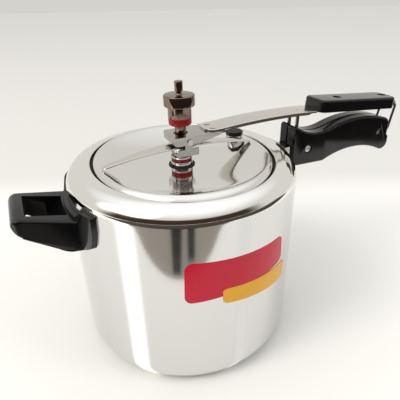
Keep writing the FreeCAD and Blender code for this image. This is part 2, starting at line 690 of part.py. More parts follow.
leg_side = pad(
    new_body("fulcrum_legs"), "XZ_Plane", "2 * leg_out",
    ("fulcrum_x - leg_half", "fulcrum_z"),
    ("fulcrum_x - leg_half", "cap_top"),
    ("fulcrum_x + leg_half", "cap_top"),
    ("fulcrum_x + leg_half", "fulcrum_z"),
    both=True)
fulcrum_eye = cylinder("fulcrum_eye", "eye_radius", "2 * leg_out", "fulcrum_x", "-leg_out",
                       "fulcrum_z", "y")
fulcrum_cap = block("fulcrum_cap", "fulcrum_x - fulcrum_cap_half", "fulcrum_x + fulcrum_cap_half",
                    "-leg_out", "leg_out", "cap_top - cap_gauge", "cap_top")
leg_room = block("leg_room", "fulcrum_x - 9", "fulcrum_x + 9", "-leg_out + leg_thick",
                 "leg_out - leg_thick", 170, "cap_top - cap_gauge")
eye_bore = cylinder("eye_bore", "fulcrum_pin + fulcrum_play", 30, "fulcrum_x", -15, "fulcrum_z",
                    "y")
node("fulcrum_bracket", less(
    "fulcrum_bracket_shape", join("fulcrum_blank", leg_side, fulcrum_eye, fulcrum_cap), leg_room,
    eye_bore, *[cylinder(f"post_hole{i}", 1.2, 8, x, y, 201)
                for i, (x, y) in enumerate(fulcrum_rivet_spots)]))
node("fulcrum_rivets", group("fulcrum_rivet_pair", *[
    join(f"fulcrum_rivet{i}", cylinder(f"post_rivet_shank{i}", 1.2, 4, x, y, "cap_top - 2"),
         cylinder(f"post_rivet_tail{i}", 2, 0.7, x, y, "cap_top - cap_gauge - 0.7"))
    for i, (x, y) in enumerate(fulcrum_rivet_spots)]))

# ---------------------------------------------------------------- grip on the lever
grip_blank = pad(
    new_body("grip_blank"), "XY_Plane", "grip_high",
    ("grip_left + grip_corner", "-grip_half", "grip_corner"),
    ("grip_right - grip_corner - 2", "-grip_half"),
    ("grip_right - 1.5", "-grip_half + grip_corner + 1", "grip_corner + 2"),
    ("grip_right - 1.5", "grip_half - grip_corner - 1", "grip_bulge"),
    ("grip_right - grip_corner - 2", "grip_half", "grip_corner + 2"),
    ("grip_left + grip_corner", "grip_half"),
    ("grip_left", "grip_half - grip_corner", "grip_corner"),
    ("grip_left", "-grip_half + grip_corner"))
grip_soft = rounded("grip_soft", grip_blank, "grip_edge",
                    lambda edge: edge.BoundBox.ZMin > value("grip_high") - 0.01)
TAIL_ROOM = "lever_tail_half + grip_play"
grip_channel = block("grip_channel", "grip_left - 5", "grip_right + 5", f"-({TAIL_ROOM})",
                     TAIL_ROOM, -1, "lever_thick")
node("lever_grip", in_grip("lever_grip_place", less(
    "lever_grip_shape", grip_soft, grip_channel,
    *grip_hole("grip_bore", 2, 0, 20),
    *grip_hole("grip_well_hole", "grip_well", "grip_high - grip_well_deep", 20))))


def grip_screw(i, x):
    """A pan-head screw down a well in the grip, with a cross slot."""
    seat = "grip_high - grip_well_deep"
    head = cylinder(f"grip_screw_top{i}", "grip_screw_head", 2.4, x, 0, seat)
    shank = cylinder(f"grip_screw_shank{i}", 2, f"{seat} + 1", x, 0, -0.6)
    slot = block(f"grip_screw_slot{i}", f"{x} - 3", f"{x} + 3", -0.5, 0.5, f"{seat} + 1.4",
                 f"{seat} + 3")
    return less(f"grip_screw{i}", join(f"grip_screw_blank{i}", head, shank), slot)


node("lever_grip_screws", in_grip("grip_screw_place", group(
    "grip_screw_pair", *[grip_screw(i, x) for i, x in enumerate(GRIP_SCREWS)])))

# ---------------------------------------------------------------- wire loop
LOOP_LEAN = 9.5
loop_bars = []
for i, side in enumerate(("-", "")):
    run = "2 * (loop_half - loop_corner)"
    loop_bars.append(cylinder(f"loop_leg{i}", "wire_radius", "loop_long - 2 * loop_corner", 0,
                              f"{side}loop_half", "-loop_long + loop_corner"))
    loop_bars.append(cylinder(f"loop_bar{i}", "wire_radius", run, 0, "-loop_half + loop_corner",
                              "-loop_long" if side else 0, "y"))
for i in range(4):
    bend = doc.addObject("Part::Torus", f"loop_bend{i}")
    bind(bend, Radius1="loop_corner", Radius2="wire_radius")
    bend.Angle3 = 90
    # The ring stands in the Y-Z plane, and each quarter of it is one corner of the loop.
    stand = FreeCAD.Rotation(V(0, 1, 0), 90).multiply(FreeCAD.Rotation(V(0, 0, 1), 90 * i))
    across = "loop_half - loop_corner" if i in (0, 1) else "-loop_half + loop_corner"
    height = "-loop_corner" if i in (1, 2) else "-loop_long + loop_corner"
    loop_bars.append(put(bend, 0, across, height, stand))
node("locking_loop", put(join("locking_loop_shape", *loop_bars), "loop_x", 0, "loop_z",
                         FreeCAD.Rotation(V(0, 1, 0), LOOP_LEAN)))

# ---------------------------------------------------------------- lid
panel_blank = oval("panel_blank", "mouth_rx - lid_gap", "mouth_ry - lid_gap", "lid_low",
                   "lid_crest")
panel = rounded("panel", panel_blank, "lid_round",
                lambda edge: edge.BoundBox.ZMin > value("lid_crest") - 0.01)
rim = oval("rim", "mouth_rx + rim_reach_x", "mouth_ry + rim_reach_y", "lid_low", "rim_top")
hollow_blank = oval("hollow_blank", "mouth_rx - lid_gap - lid_wall",
                    "mouth_ry - lid_gap - lid_wall", "lid_low - 1", "lid_crest - lid_wall")
hollow = rounded("hollow", hollow_blank, "lid_round - lid_wall",
                 lambda edge: edge.BoundBox.ZMin > value("lid_crest - lid_wall") - 0.01)


def dish(name, radius):
    """The large ball that presses the lid's shallow dish."""
    press = doc.addObject("Part::Sphere", name)
    bind(press, Radius=radius)
    press.Angle1 = -90
    press.Angle2 = -60
    return put(press, 0, 0, "dish_low + dish_radius")


lid_solid = less("lid_solid", join("lid_blank", panel, rim),
                 dish("dish_top", "dish_radius"),
                 less("lid_hollow", hollow, dish("dish_under", "dish_radius + lid_wall")),
                 cylinder("lid_vent_hole", "vent_radius", 30, 0, 0, 160),
                 cylinder("lid_plug_hole", "plug_stem", 30, "plug_x", "plug_y", 165))
node("lid_plate", lid_solid)

gasket_outer = rounded(
    "gasket_outer", oval("gasket_blank", "mouth_rx + gasket_reach", "mouth_ry + gasket_reach",
                         "rim_top", "gasket_top"),
    "gasket_round", lambda edge: edge.BoundBox.ZMin > value("gasket_top") - 0.01)
node("lid_gasket", less("lid_gasket_shape", gasket_outer,
                        oval("gasket_hole", "mouth_rx - lid_gap + 0.1", "mouth_ry - lid_gap + 0.1",
                             "lid_low", "lid_crest")))

STRAP_RISE = "(strap_top - strap_end_top)"
STRAP_RADIUS = f"(strap_reach * strap_reach + {STRAP_RISE} * {STRAP_RISE}) / 2 / {STRAP_RISE}"
strap_side = pad(
    new_body("strap_side"), "XZ_Plane", "2 * strap_half",
    ("-strap_reach", "strap_end_top - strap_thick"),
    ("strap_reach", "strap_end_top - strap_thick", f"-{STRAP_RADIUS}"),
    ("strap_reach", "strap_end_top"),
    ("-strap_reach", "strap_end_top", STRAP_RADIUS),
    both=True)
strap_plan = pad(
    new_body("strap_plan"), "XY_Plane", 40,
    (-16, "-strap_half"),
    (16, "-strap_half"),
    ("strap_reach - 3", "-strap_tip_half"),
    ("strap_reach - 3", "strap_tip_half", "strap_tip_half + 0.5"),
    (16, "strap_half"),
    (-16, "strap_half"),
    ("-strap_reach + 3", "strap_tip_half"),
    ("-strap_reach + 3", "-strap_tip_half", "strap_tip_half + 0.5"),
    offset=170)
node("lid_strap", less("lid_strap_shape", shared("strap_blank", strap_side, strap_plan),
                       cylinder("strap_hole", "vent_radius", 30, 0, 0, 180)))

# ---------------------------------------------------------------- vent and its stack
node("vent_tube", spun(
    "vent_tube_body",
    ("vent_bore", "vent_low"),
    ("vent_radius", "vent_low"),
    ("vent_radius", "vent_top - vent_bevel - 1.5"),
    ("vent_radius - vent_bevel - 1", "vent_top"),
    ("vent_bore", "vent_top")))


def ring(name, radius, low, high, soft=0.4):
    """A ring threaded on the vent, with its outer edges eased."""
    return spun(name, ("vent_radius", low), (f"{radius} - {soft}", low),
                (radius, f"{low} + {soft}", soft), (radius, f"{high} - {soft}"),
                (f"{radius} - {soft}", high, soft), ("vent_radius", high))


washer_blank = less("washer_blank", cylinder("washer_disc", "washer_radius", 4, 0, 0,
                                             "washer_top - 4"),
                    cylinder("washer_hole", "vent_radius", 8, 0, 0, "washer_top - 6"))
node("vent_washer", shared("vent_washer_shape", washer_blank, dish("washer_dish", "dish_radius")))
node("vent_base_ring", ring("vent_base", "base_ring_radius", "washer_top", "base_ring_top"))
node("red_seal_ring", ring("seal", "seal_radius", "base_ring_top", "seal_top", 0.8))
node("vent_rim_ring", ring("rim_ring", "nut_rim_radius", "seal_top", "nut_rim_top"))
node("vent_top_nut", ring("top_nut", "nut_radius", "nut_rim_top", "nut_top"))
node("strap_spacer", ring("spacer", "spacer_radius", "bracket_floor", "spacer_top"))
node("under_lid_nut", less("under_nut_shape",
                           prism("under_nut", "under_nut_flats", 6, "under_nut_low", "lid_low"),
                           cylinder("under_nut_hole", "vent_radius", 12, 0, 0, 162)))

# ---------------------------------------------------------------- pivots of the lever on the lid
cheeks = pad(
    new_body("cheeks"), "XZ_Plane", "2 * cheek_out",
    ("bracket_left", "nut_top"),
    ("bracket_right", "nut_top"),
    ("bracket_right", "cheek_top"),
    ("pivot_x + ear_radius + 1", "cheek_top"),
    ("pivot_x + ear_radius", "pivot_z"),
    ("pivot_x - ear_radius", "pivot_z", "ear_radius + 0.0001"),
    ("pivot_x - ear_radius - 1", "cheek_top"),
    ("bracket_left", "cheek_top"),
    both=True)
pad(cheeks, "XZ_Plane", "2 * (cheek_out - cheek_thick)",
    *corners_of("bracket_left - 1", "bracket_right + 1", "bracket_floor", 210),
    both=True, cut=True)
pivot_bore = cylinder("pivot_bore", "pivot_radius", 40, "pivot_x", -20, "pivot_z", "y")
node("vent_bracket", less("vent_bracket_shape", cheeks, pivot_bore,
                          cylinder("bracket_vent_hole", "vent_radius", 20, 0, 0, 180)))


def pivot_rivet(i, side):
    """A shouldered rivet through one ear of the bracket and one flange of the yoke."""
    inner = "cheek_out - cheek_thick - 1"
    long = "pivot_out - cheek_out + cheek_thick + 1"
    shank_from = inner if side > 0 else "-pivot_out"
    shank = cylinder(f"pivot_shank{i}", "pivot_radius", long, "pivot_x", shank_from, "pivot_z", "y")
    tail = cylinder(f"pivot_tail{i}", "pivot_head", 1, "pivot_x",
                    inner if side > 0 else "-cheek_out + cheek_thick", "pivot_z", "y")
    head = cylinder(f"pivot_head{i}", "pivot_head", 0.9, "pivot_x",
                    "pivot_out - 0.9" if side > 0 else "-pivot_out", "pivot_z", "y")
    return join(f"pivot_rivet{i}", shank, tail, head)


node("lever_pivot_rivets", group("lever_pivot_pair", pivot_rivet(0, -1), pivot_rivet(1, 1)))

# ---------------------------------------------------------------- safety plug
node("safety_plug", prism("plug_head", "plug_flats", 8, "plug_low", "plug_top", "plug_x",
                          "plug_y"))
seat_blank = cylinder("plug_seat_blank", "plug_seat_radius", "plug_low - 178", "plug_x", "plug_y",
                      178)
seat_stem = cylinder("plug_stem_bar", "plug_stem", "plug_low - plug_stem_low", "plug_x", "plug_y",
                     "plug_stem_low")
node("safety_plug_seat", join("plug_seat_shape",
                              shared("plug_seat_ring", seat_blank, dish("seat_dish", "dish_radius")),
                              seat_stem))
node("safety_plug_nut", less("plug_nut_shape",
                             prism("plug_nut", "plug_nut_flats", 6, "plug_stem_low + 1.5",
                                   "plug_nut_top",
                                   "plug_x", "plug_y"),
                             cylinder("plug_nut_hole", "plug_stem", 20, "plug_x", "plug_y", 165)))

# ---------------------------------------------------------------- pressure weight
node("weight_body", spun(
    "weight_body_turned",
    ("weight_bore", "weight_low"),
    ("weight_core", "weight_low"),
    ("weight_core", "weight_band_top"),
    ("weight_body_radius", "weight_band_top"),
    ("weight_body_radius", "weight_body_top - 0.6"),
    ("weight_body_radius + 0.6", "weight_body_top", "-0.6"),
    ("weight_cap_radius - 0.8", "weight_body_top"),
    ("weight_cap_radius", "weight_body_top + 0.8", "0.8"),
    ("weight_cap_radius", "weight_cap_top - 0.8"),
    ("weight_cap_radius - 0.8", "weight_cap_top", "0.8"),
    (0, "weight_cap_top"),
    (0, "weight_roof + 2.4"),
    ("weight_bore", "weight_roof")))
node("weight_band", spun(
    "weight_band_moulded",
    ("weight_core", "weight_low"),
    ("weight_band_radius - 1.6", "weight_low"),
    ("weight_band_radius", "weight_low + 1.6", "1.6"),
    ("weight_band_radius", "weight_band_top"),
    ("weight_core", "weight_band_top")))
node("weight_knob", spun(
    "weight_knob_turned",
    (0, "weight_cap_top"),
    ("knob_neck", "weight_cap_top"),
    ("knob_neck", "knob_low"),
    ("knob_radius", "knob_low + 0.8"),
    ("knob_radius", "knob_top - 0.8"),
    ("knob_radius - 0.8", "knob_top", "0.8"),
    (0, "knob_top")))

# ---------------------------------------------------------------- check and write
doc.recompute()
troubled = [f"{thing.Name}: {thing.State}" for thing in doc.Objects
            if "Invalid" in thing.State or "Error" in thing.State]
if troubled:
    raise SystemExit("objects that failed: " + "; ".join(troubled))

os.makedirs("parts", exist_ok=True)
for thing in NODES:
    shape = thing.Shape
    if shape.isNull() or not shape.isValid() or not shape.Solids:
        raise SystemExit(f"{thing.Label} has no valid solid")
    shape.exportStep(f"parts/{thing.Label}.step")
    print(f"{thing.Label:24} {len(shape.Solids)} solids {shape.Volume / 1000:9.2f} cm3")
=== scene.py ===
# %% [markdown]
# # A stovetop pressure cooker
# This cooker is a bright aluminium pot with an oval inner lid, a sprung steel lever that draws the
# lid up against the pot's flange, two black moulded handles and a plated weight on the vent.
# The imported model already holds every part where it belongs. The cells below give each part the
# finish of the real thing, and rebuild as smooth surfaces the parts whose reflections would show
# the small flat faces of a CAD mesh.

import json
from math import cos, pi, radians, sin, sqrt

import bmesh
import bpy
import numpy as np
from mathutils import Matrix, Vector

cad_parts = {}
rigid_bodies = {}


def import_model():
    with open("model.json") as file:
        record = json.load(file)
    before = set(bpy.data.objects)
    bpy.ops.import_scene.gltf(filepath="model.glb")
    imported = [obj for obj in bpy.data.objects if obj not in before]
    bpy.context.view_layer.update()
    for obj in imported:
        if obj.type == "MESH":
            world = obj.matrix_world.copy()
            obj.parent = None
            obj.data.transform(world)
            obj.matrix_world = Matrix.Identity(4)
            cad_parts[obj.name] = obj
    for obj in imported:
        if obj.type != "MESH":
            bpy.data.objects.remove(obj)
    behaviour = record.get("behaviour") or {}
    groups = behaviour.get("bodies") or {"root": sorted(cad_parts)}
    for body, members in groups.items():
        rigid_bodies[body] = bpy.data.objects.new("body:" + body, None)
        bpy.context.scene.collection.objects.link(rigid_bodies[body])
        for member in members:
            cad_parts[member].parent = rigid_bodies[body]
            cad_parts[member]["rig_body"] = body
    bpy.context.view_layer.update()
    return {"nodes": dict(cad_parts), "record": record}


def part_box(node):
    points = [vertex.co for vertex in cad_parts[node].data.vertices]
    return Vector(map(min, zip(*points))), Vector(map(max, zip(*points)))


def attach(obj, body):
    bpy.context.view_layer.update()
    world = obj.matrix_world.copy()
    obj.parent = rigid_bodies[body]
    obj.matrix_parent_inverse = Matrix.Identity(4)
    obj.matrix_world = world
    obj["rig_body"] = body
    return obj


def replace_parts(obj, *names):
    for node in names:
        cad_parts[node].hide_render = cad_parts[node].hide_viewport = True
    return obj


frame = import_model()
MM = 0.001
BODY = {name: thing["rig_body"] for name, thing in frame["nodes"].items()}
SLOT = {part["node"]: part["material_slot"] for part in frame["record"]["subparts"]}


def span(node, axis):
    """Lowest and highest coordinate of a node along one axis, in millimetres."""
    low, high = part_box(node)
    return low[axis] / MM, high[axis] / MM


# %% [markdown]
# ## The camera
# The viewer stands close and looks down on the lid, from the side of the sticker. Three angles aim
# the camera: how far it turns from +Y, how far it looks down, and a slight lean of the horizon.
# So near the pot the perspective is strong, and the distance matters as much as the lens.

# %% Camera
CAMERA_AT = Vector((-0.1259, -0.3115, 0.3207))
TURN, DOWN, LEAN = radians(24.76), radians(28.92), radians(-1.23)


def camera_axes():
    """Right, up and backward directions of the camera.

    Forward is (sin turn cos down, cos turn cos down, -sin down). Right is level and square to it,
    up is their cross product, and the lean turns right and up about forward.
    """
    forward = Vector((sin(TURN) * cos(DOWN), cos(TURN) * cos(DOWN), -sin(DOWN)))
    right = Vector((cos(TURN), -sin(TURN), 0))
    up = right.cross(forward)
    return (cos(LEAN) * right + sin(LEAN) * up, cos(LEAN) * up - sin(LEAN) * right, -forward)


lens = bpy.data.cameras.new("camera")
lens.lens, lens.sensor_width = 35.1, 36
camera = bpy.data.objects.new("camera", lens)
bpy.context.scene.collection.objects.link(camera)
camera.matrix_world = Matrix.Translation(CAMERA_AT) @ Matrix(camera_axes()).transposed().to_4x4()
bpy.context.scene.camera = camera
print("camera at", [round(x, 3) for x in camera.location])

# %% [markdown]
# ## Tools for surfaces
# Most parts of a cooker are turned, pressed or bent, so each is a grid of points: one direction
# runs round or along the part and the other across it. numpy works out the whole grid at once.
# Points that meet at a pole or a seam are welded afterwards, and normals are turned outwards.

# %% Surfaces
SAME_PLACE = 2e-6


def weld(mesh, flat=None):
    """Join points that coincide, merge faces within flat degrees if asked, and turn faces outwards."""
    work = bmesh.new()
    work.from_mesh(mesh)
    bmesh.ops.remove_doubles(work, verts=work.verts, dist=SAME_PLACE)
    if flat:
        bmesh.ops.dissolve_limit(work, angle_limit=radians(flat), verts=work.verts, edges=work.edges)
    bmesh.ops.recalc_face_normals(work, faces=work.faces)
    work.to_mesh(mesh)
    work.free()


def piece(name, mesh, look, node, sharp=40):
    """A finished mesh made one piece that rides with the CAD node it follows."""
    mesh.shade_smooth()
    mesh.set_sharp_from_angle(angle=radians(sharp))
    mesh.materials.clear()
    mesh.materials.append(look)
    made = bpy.data.objects.new(name, mesh)
    bpy.context.scene.collection.objects.link(made)
    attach(made, BODY[node])
    return made


def surface(name, points, look, node, rows_wrap=False, sharp=40):
    """A skin of quads over a grid of points in millimetres; its columns close into a ring."""
    rows, columns = points.shape[:2]
    index = np.arange(rows * columns).reshape(rows, columns)
    if rows_wrap:
        index = np.vstack([index, index[:1]])
    index = np.hstack([index, index[:, :1]])
    quads = np.stack([index[:-1, :-1], index[:-1, 1:], index[1:, 1:], index[1:, :-1]], axis=-1)
    mesh = bpy.data.meshes.new(name)
    mesh.from_pydata((points * MM).reshape(-1, 3), [], quads.reshape(-1, 4).tolist())
    weld(mesh)
    return piece(name, mesh, look, node, sharp)


def arc(centre, radius, start, end, steps):
    """Points on an arc in a plane: centre plus radius times (cos a, sin a), a in degrees."""
    a = np.radians(np.linspace(start, end, steps))
    return np.stack([centre[0] + radius * np.cos(a), centre[1] + radius * np.sin(a)], axis=-1)


def line(start, end, steps):
    """Evenly spaced points of a straight run, both ends included."""
    t = np.linspace(0, 1, steps)[:, None]
    return np.array(start) * (1 - t) + np.array(end) * t


def turned(name, profile, look, node, around=96):
    """A profile of (radius, height) turned about an upright axis: (r cos a, r sin a, z)."""
    r, z = np.vstack(profile).T
    a = np.linspace(0, 2 * pi, around, endpoint=False)
    points = np.stack([np.outer(r, np.cos(a)), np.outer(r, np.sin(a)),
                       np.repeat(z[:, None], around, axis=1)], axis=-1)
    return surface(name, points, look, node, rows_wrap=True)


def rounded_ring(inner, outer, low, high, soft):
    """The profile of a ring with eased corners: four quarter arcs joined by straight runs."""
    return [arc((outer - soft, low + soft), soft, -90, 0, 6),
            arc((outer - soft, high - soft), soft, 0, 90, 6),
            arc((inner + soft, high - soft), soft, 90, 180, 6),
            arc((inner + soft, low + soft), soft, 180, 270, 6)]


# %% [markdown]
# ## Tools for finishes
# A finish is a Principled shader whose colour comes from the real material and whose roughness and
# bump come from how its surface was made. Colours are written as sRGB hex, as a paint chart gives
# them, and turned into the linear values that light is added up in.

# %% Finishes
def linear(code, alpha=1.0):
    """An sRGB hex colour as linear red, green, blue and alpha."""
    s = np.array([int(code[i:i + 2], 16) for i in (1, 3, 5)]) / 255
    return (*np.where(s <= 0.04045, s / 12.92, ((s + 0.055) / 1.055) ** 2.4).tolist(), alpha)


def add(tree, kind, settings=None, values=None, links=None):
    """Add one node, with its settings, input values and links from other nodes' outputs."""
    made = tree.nodes.new("ShaderNode" + kind)
    for name, setting in (settings or {}).items():
        setattr(made, name, setting)
    for name, number in (values or {}).items():
        made.inputs[name].default_value = number
    for name, source in (links or {}).items():
        tree.links.new(source, made.inputs[name])
    return made


def new_finish(name, colour, metallic, roughness, **others):
    """A material with one Principled shader; returns the material, its nodes and the shader."""
    look = bpy.data.materials.new(name)
    look.use_nodes = True
    tree = look.node_tree
    tree.nodes.clear()
    shader = add(tree, "BsdfPrincipled", values={"Base Color": linear(colour), "Metallic": metallic,
                                                 "Roughness": roughness, **others})
    add(tree, "OutputMaterial", links={"Surface": shader.outputs["BSDF"]})
    return look, tree, shader


def grained(look, tree, shader, stretch, rough, relief, tint=None):
    """Stretched noise that varies roughness, relief and tint.

    stretch is the number of grains per metre along X, Y and Z, so the noise is drawn out along the
    axis whose number is small. rough is the lowest and highest roughness, and relief is in metres.
    """
    where = add(tree, "TexCoord")
    scaled = add(tree, "Mapping", values={"Scale": stretch},
                 links={"Vector": where.outputs["Object"]})
    grain = add(tree, "TexNoise", values={"Scale": 1.0, "Detail": 5.0, "Roughness": 0.6},
                links={"Vector": scaled.outputs["Vector"]})
    spread = add(tree, "MapRange", values={"From Min": 0.3, "From Max": 0.7, "To Min": rough[0],
                                           "To Max": rough[1]},
                 links={"Value": grain.outputs["Fac"]})
    tree.links.new(spread.outputs["Result"], shader.inputs["Roughness"])
    bump = add(tree, "Bump", values={"Strength": 1.0, "Distance": relief},
               links={"Height": grain.outputs["Fac"]})
    tree.links.new(bump.outputs["Normal"], shader.inputs["Normal"])
    if tint:
        ramp = add(tree, "ValToRGB", links={"Fac": grain.outputs["Fac"]})
        ramp.color_ramp.elements[0].position, ramp.color_ramp.elements[1].position = 0.3, 0.7
        ramp.color_ramp.elements[0].color = linear(tint[0])
        ramp.color_ramp.elements[1].color = linear(tint[1])
        tree.links.new(ramp.outputs["Color"], shader.inputs["Base Color"])
    return look


# %% [markdown]
# ## Metals
# - The pot is spun from 3 mm aluminium. Its wall is left with the fine level lines of the spinning
#   tool, so it is satin, and its shoulder is buffed to a mirror. One finish changes with height.
# - The lid is pressed and buffed all over.
# - The lever and the strap are stainless strip, brushed along their length.
# - The yoke and the brackets are pressed from a darker stainless and polished.
# - Most screws, rivets and rings are zinc plated, and the nut under the lid is plain brass.
# - The locking loop is darkened spring wire.
# - The weight is turned brass under dark nickel plate, which reflects with a brown cast.

# %% Aluminium
# The height where satin gives way to polish, and half of the change between them, in metres.
POLISH_LINE, POLISH_BLEND = 0.1706, 0.0005


def spun_aluminium():
    """Satin below the polish line and mirror above it, with level spinning lines 0.4 mm apart.

    The real lines are about a tenth of that, too fine to see, so they are drawn coarser. Grooves
    scatter light across themselves and not along, so the shader is anisotropic round the pot.
    """
    look, tree, shader = new_finish("spun_aluminium", "#EAEAE8", 1.0, 0.1, Anisotropic=0.6)
    where = add(tree, "TexCoord")
    height = add(tree, "SeparateXYZ", links={"Vector": where.outputs["Object"]})
    polished = add(tree, "MapRange", values={"From Min": POLISH_LINE - POLISH_BLEND,
                                             "From Max": POLISH_LINE + POLISH_BLEND},
                   links={"Value": height.outputs["Z"]})
    scaled = add(tree, "Mapping", values={"Scale": (9, 9, 2500)},
                 links={"Vector": where.outputs["Object"]})
    rings = add(tree, "TexNoise", values={"Scale": 1.0, "Detail": 4.0},
                links={"Vector": scaled.outputs["Vector"]})
    satin = add(tree, "MapRange", values={"From Min": 0.3, "From Max": 0.7, "To Min": 0.08,
                                          "To Max": 0.15}, links={"Value": rings.outputs["Fac"]})
    rough = add(tree, "Mix", values={3: 0.05}, links={0: polished.outputs["Result"],
                                                     2: satin.outputs["Result"]})
    tree.links.new(rough.outputs[0], shader.inputs["Roughness"])
    tone = add(tree, "Mix", {"data_type": "RGBA"}, {6: linear("#DBDBDA"), 7: linear("#F1F0ED")},
               {0: polished.outputs["Result"]})
    tree.links.new(tone.outputs[2], shader.inputs["Base Color"])
    round_pot = add(tree, "Tangent", {"direction_type": "RADIAL", "axis": "Z"})
    tree.links.new(round_pot.outputs["Tangent"], shader.inputs["Tangent"])
    depth = add(tree, "MapRange", values={"To Min": 0.08, "To Max": 0.0},
                links={"Value": polished.outputs["Result"]})
    bump = add(tree, "Bump", values={"Distance": 0.00002}, links={
        "Height": rings.outputs["Fac"], "Strength": depth.outputs["Result"]})
    tree.links.new(bump.outputs["Normal"], shader.inputs["Normal"])
    return look


SPUN = spun_aluminium()
BUFFED = grained(*new_finish("buffed_aluminium", "#E6E5E2", 1.0, 0.06), (40, 40, 40),
                 (0.045, 0.085), 0.00001)
BRIGHT = grained(*new_finish("polished_stainless", "#B4B2AD", 1.0, 0.09), (60, 900, 900),
                 (0.06, 0.12), 0.000006, ("#A9A7A1", "#BFBDB8"))
BRUSHED = grained(*new_finish("brushed_stainless", "#DAD7D1", 1.0, 0.2), (25, 1600, 1600),
                  (0.12, 0.24), 0.000012, ("#D2CEC7", "#E0DDD8"))
PLATED = grained(*new_finish("zinc_plated_steel", "#CFCECC", 1.0, 0.16), (300, 300, 300),
                 (0.1, 0.22), 0.000008, ("#C6C4C0", "#D8D7D5"))
NICKEL = grained(*new_finish("dark_nickel_plate", "#7C6C61", 1.0, 0.1), (90, 90, 900),
                 (0.05, 0.1), 0.000003, ("#74645A", "#867569"))
BRASS = grained(*new_finish("turned_brass", "#C9AF6B", 1.0, 0.25), (60, 60, 1200),
                (0.2, 0.32), 0.00001, ("#BCA15C", "#D2BB7C"))
WIRE = grained(*new_finish("darkened_spring_wire", "#6E6A66", 1.0, 0.3), (400, 400, 400),
               (0.22, 0.38), 0.00001, ("#5F5B57", "#7C7873"))
print("metals:", [m.name for m in bpy.data.materials][-8:])

# %% [markdown]
# ## Plastics, rubber and film
# Phenolic handles come glossy from a steel mould, with a faint orange peel. The gasket is matt
# nitrile rubber and the two seals are red silicone. The sticker is a glossy printed film.

# %% Plastics
PHENOLIC = grained(*new_finish("black_phenolic", "#070708", 0.0, 0.12,
                               **{"Specular IOR Level": 0.4}), (260, 260, 260),
                   (0.1, 0.15), 0.000005, ("#060607", "#0A0A0C"))
RUBBER = grained(*new_finish("nitrile_rubber", "#0B0B0B", 0.0, 0.6), (900, 900, 900),
                 (0.5, 0.7), 0.00002, ("#090909", "#101010"))
SILICONE = grained(*new_finish("red_silicone", "#8C0507", 0.0, 0.3,
                               **{"Specular IOR Level": 0.3}), (700, 700, 700),
                   (0.25, 0.36), 0.00001, ("#820406", "#960608"))
RED_FILM = grained(*new_finish("red_printed_film", "#BE1230", 0.0, 0.16,
                               **{"Specular IOR Level": 0.3}), (250, 250, 250),
                   (0.14, 0.19), 0.000003, ("#BB102E", "#C11432"))
YELLOW_FILM = grained(*new_finish("yellow_printed_film", "#E2A620", 0.0, 0.16,
                                  **{"Specular IOR Level": 0.3}), (250, 250, 250),
                      (0.14, 0.19), 0.000003, ("#E0A31E", "#E4A924"))
print("plastics:", [m.name for m in bpy.data.materials][-5:])

# %% [markdown]
# ## The pot
# A pot could be turned in one go, but its mouth is oval while its wall is round. So each angle has
# its own profile: the flange runs from the oval edge out to the shoulder, and everything below it
# is the same all round. The inside follows the outside, one wall's thickness in.

# %% Pot
WALL, BASE_THICK, BASE_CORNER, SHOULDER, LIP = 3.0, 4.0, 19.5, 14.7, 0.9
RADIUS, HEIGHT = span("pot_body", 0)[1], span("pot_body", 2)[1]
# How far the lid's rim reaches under the flange along X and along Y.
RIM_REACH = np.array([5, 4.2])
MOUTH = np.array([span("lid_plate", 0)[1], span("lid_plate", 1)[1]]) - RIM_REACH
AROUND = 256
TURNS = np.linspace(0, 2 * pi, AROUND, endpoint=False)


def oval_radius(semi, angle):
    """Distance from the centre to an oval's edge: 1 / sqrt((cos a / A)^2 + (sin a / B)^2)."""
    return 1 / np.sqrt((np.cos(angle) / semi[0]) ** 2 + (np.sin(angle) / semi[1]) ** 2)


def flange(radius, corner, top, edge, steps):
    """Rows from an oval edge outwards: level to the shoulder, then down its quarter arc.

    Where the edge already lies on the arc, the arc starts at the angle asin((edge - c) / corner).
    """
    centre = radius - corner
    k = np.linspace(0, 1, 4)[:, None]
    level = edge + (np.maximum(edge, centre) - edge) * k
    start = np.arcsin(np.clip((edge - centre) / corner, 0, 1))
    a = start + (pi / 2 - start) * np.linspace(0, 1, steps)[:, None]
    r = np.vstack([level, centre + corner * np.sin(a)])
    z = np.vstack([np.broadcast_to(top - corner + corner * np.cos(start), level.shape),
                   top - corner + corner * np.cos(a)])
    return r, z


def all_round(run):
    """Rows of one (radius, height) run, the same at every angle."""
    return (np.repeat(run[:, :1], AROUND, axis=1), np.repeat(run[:, 1:], AROUND, axis=1))


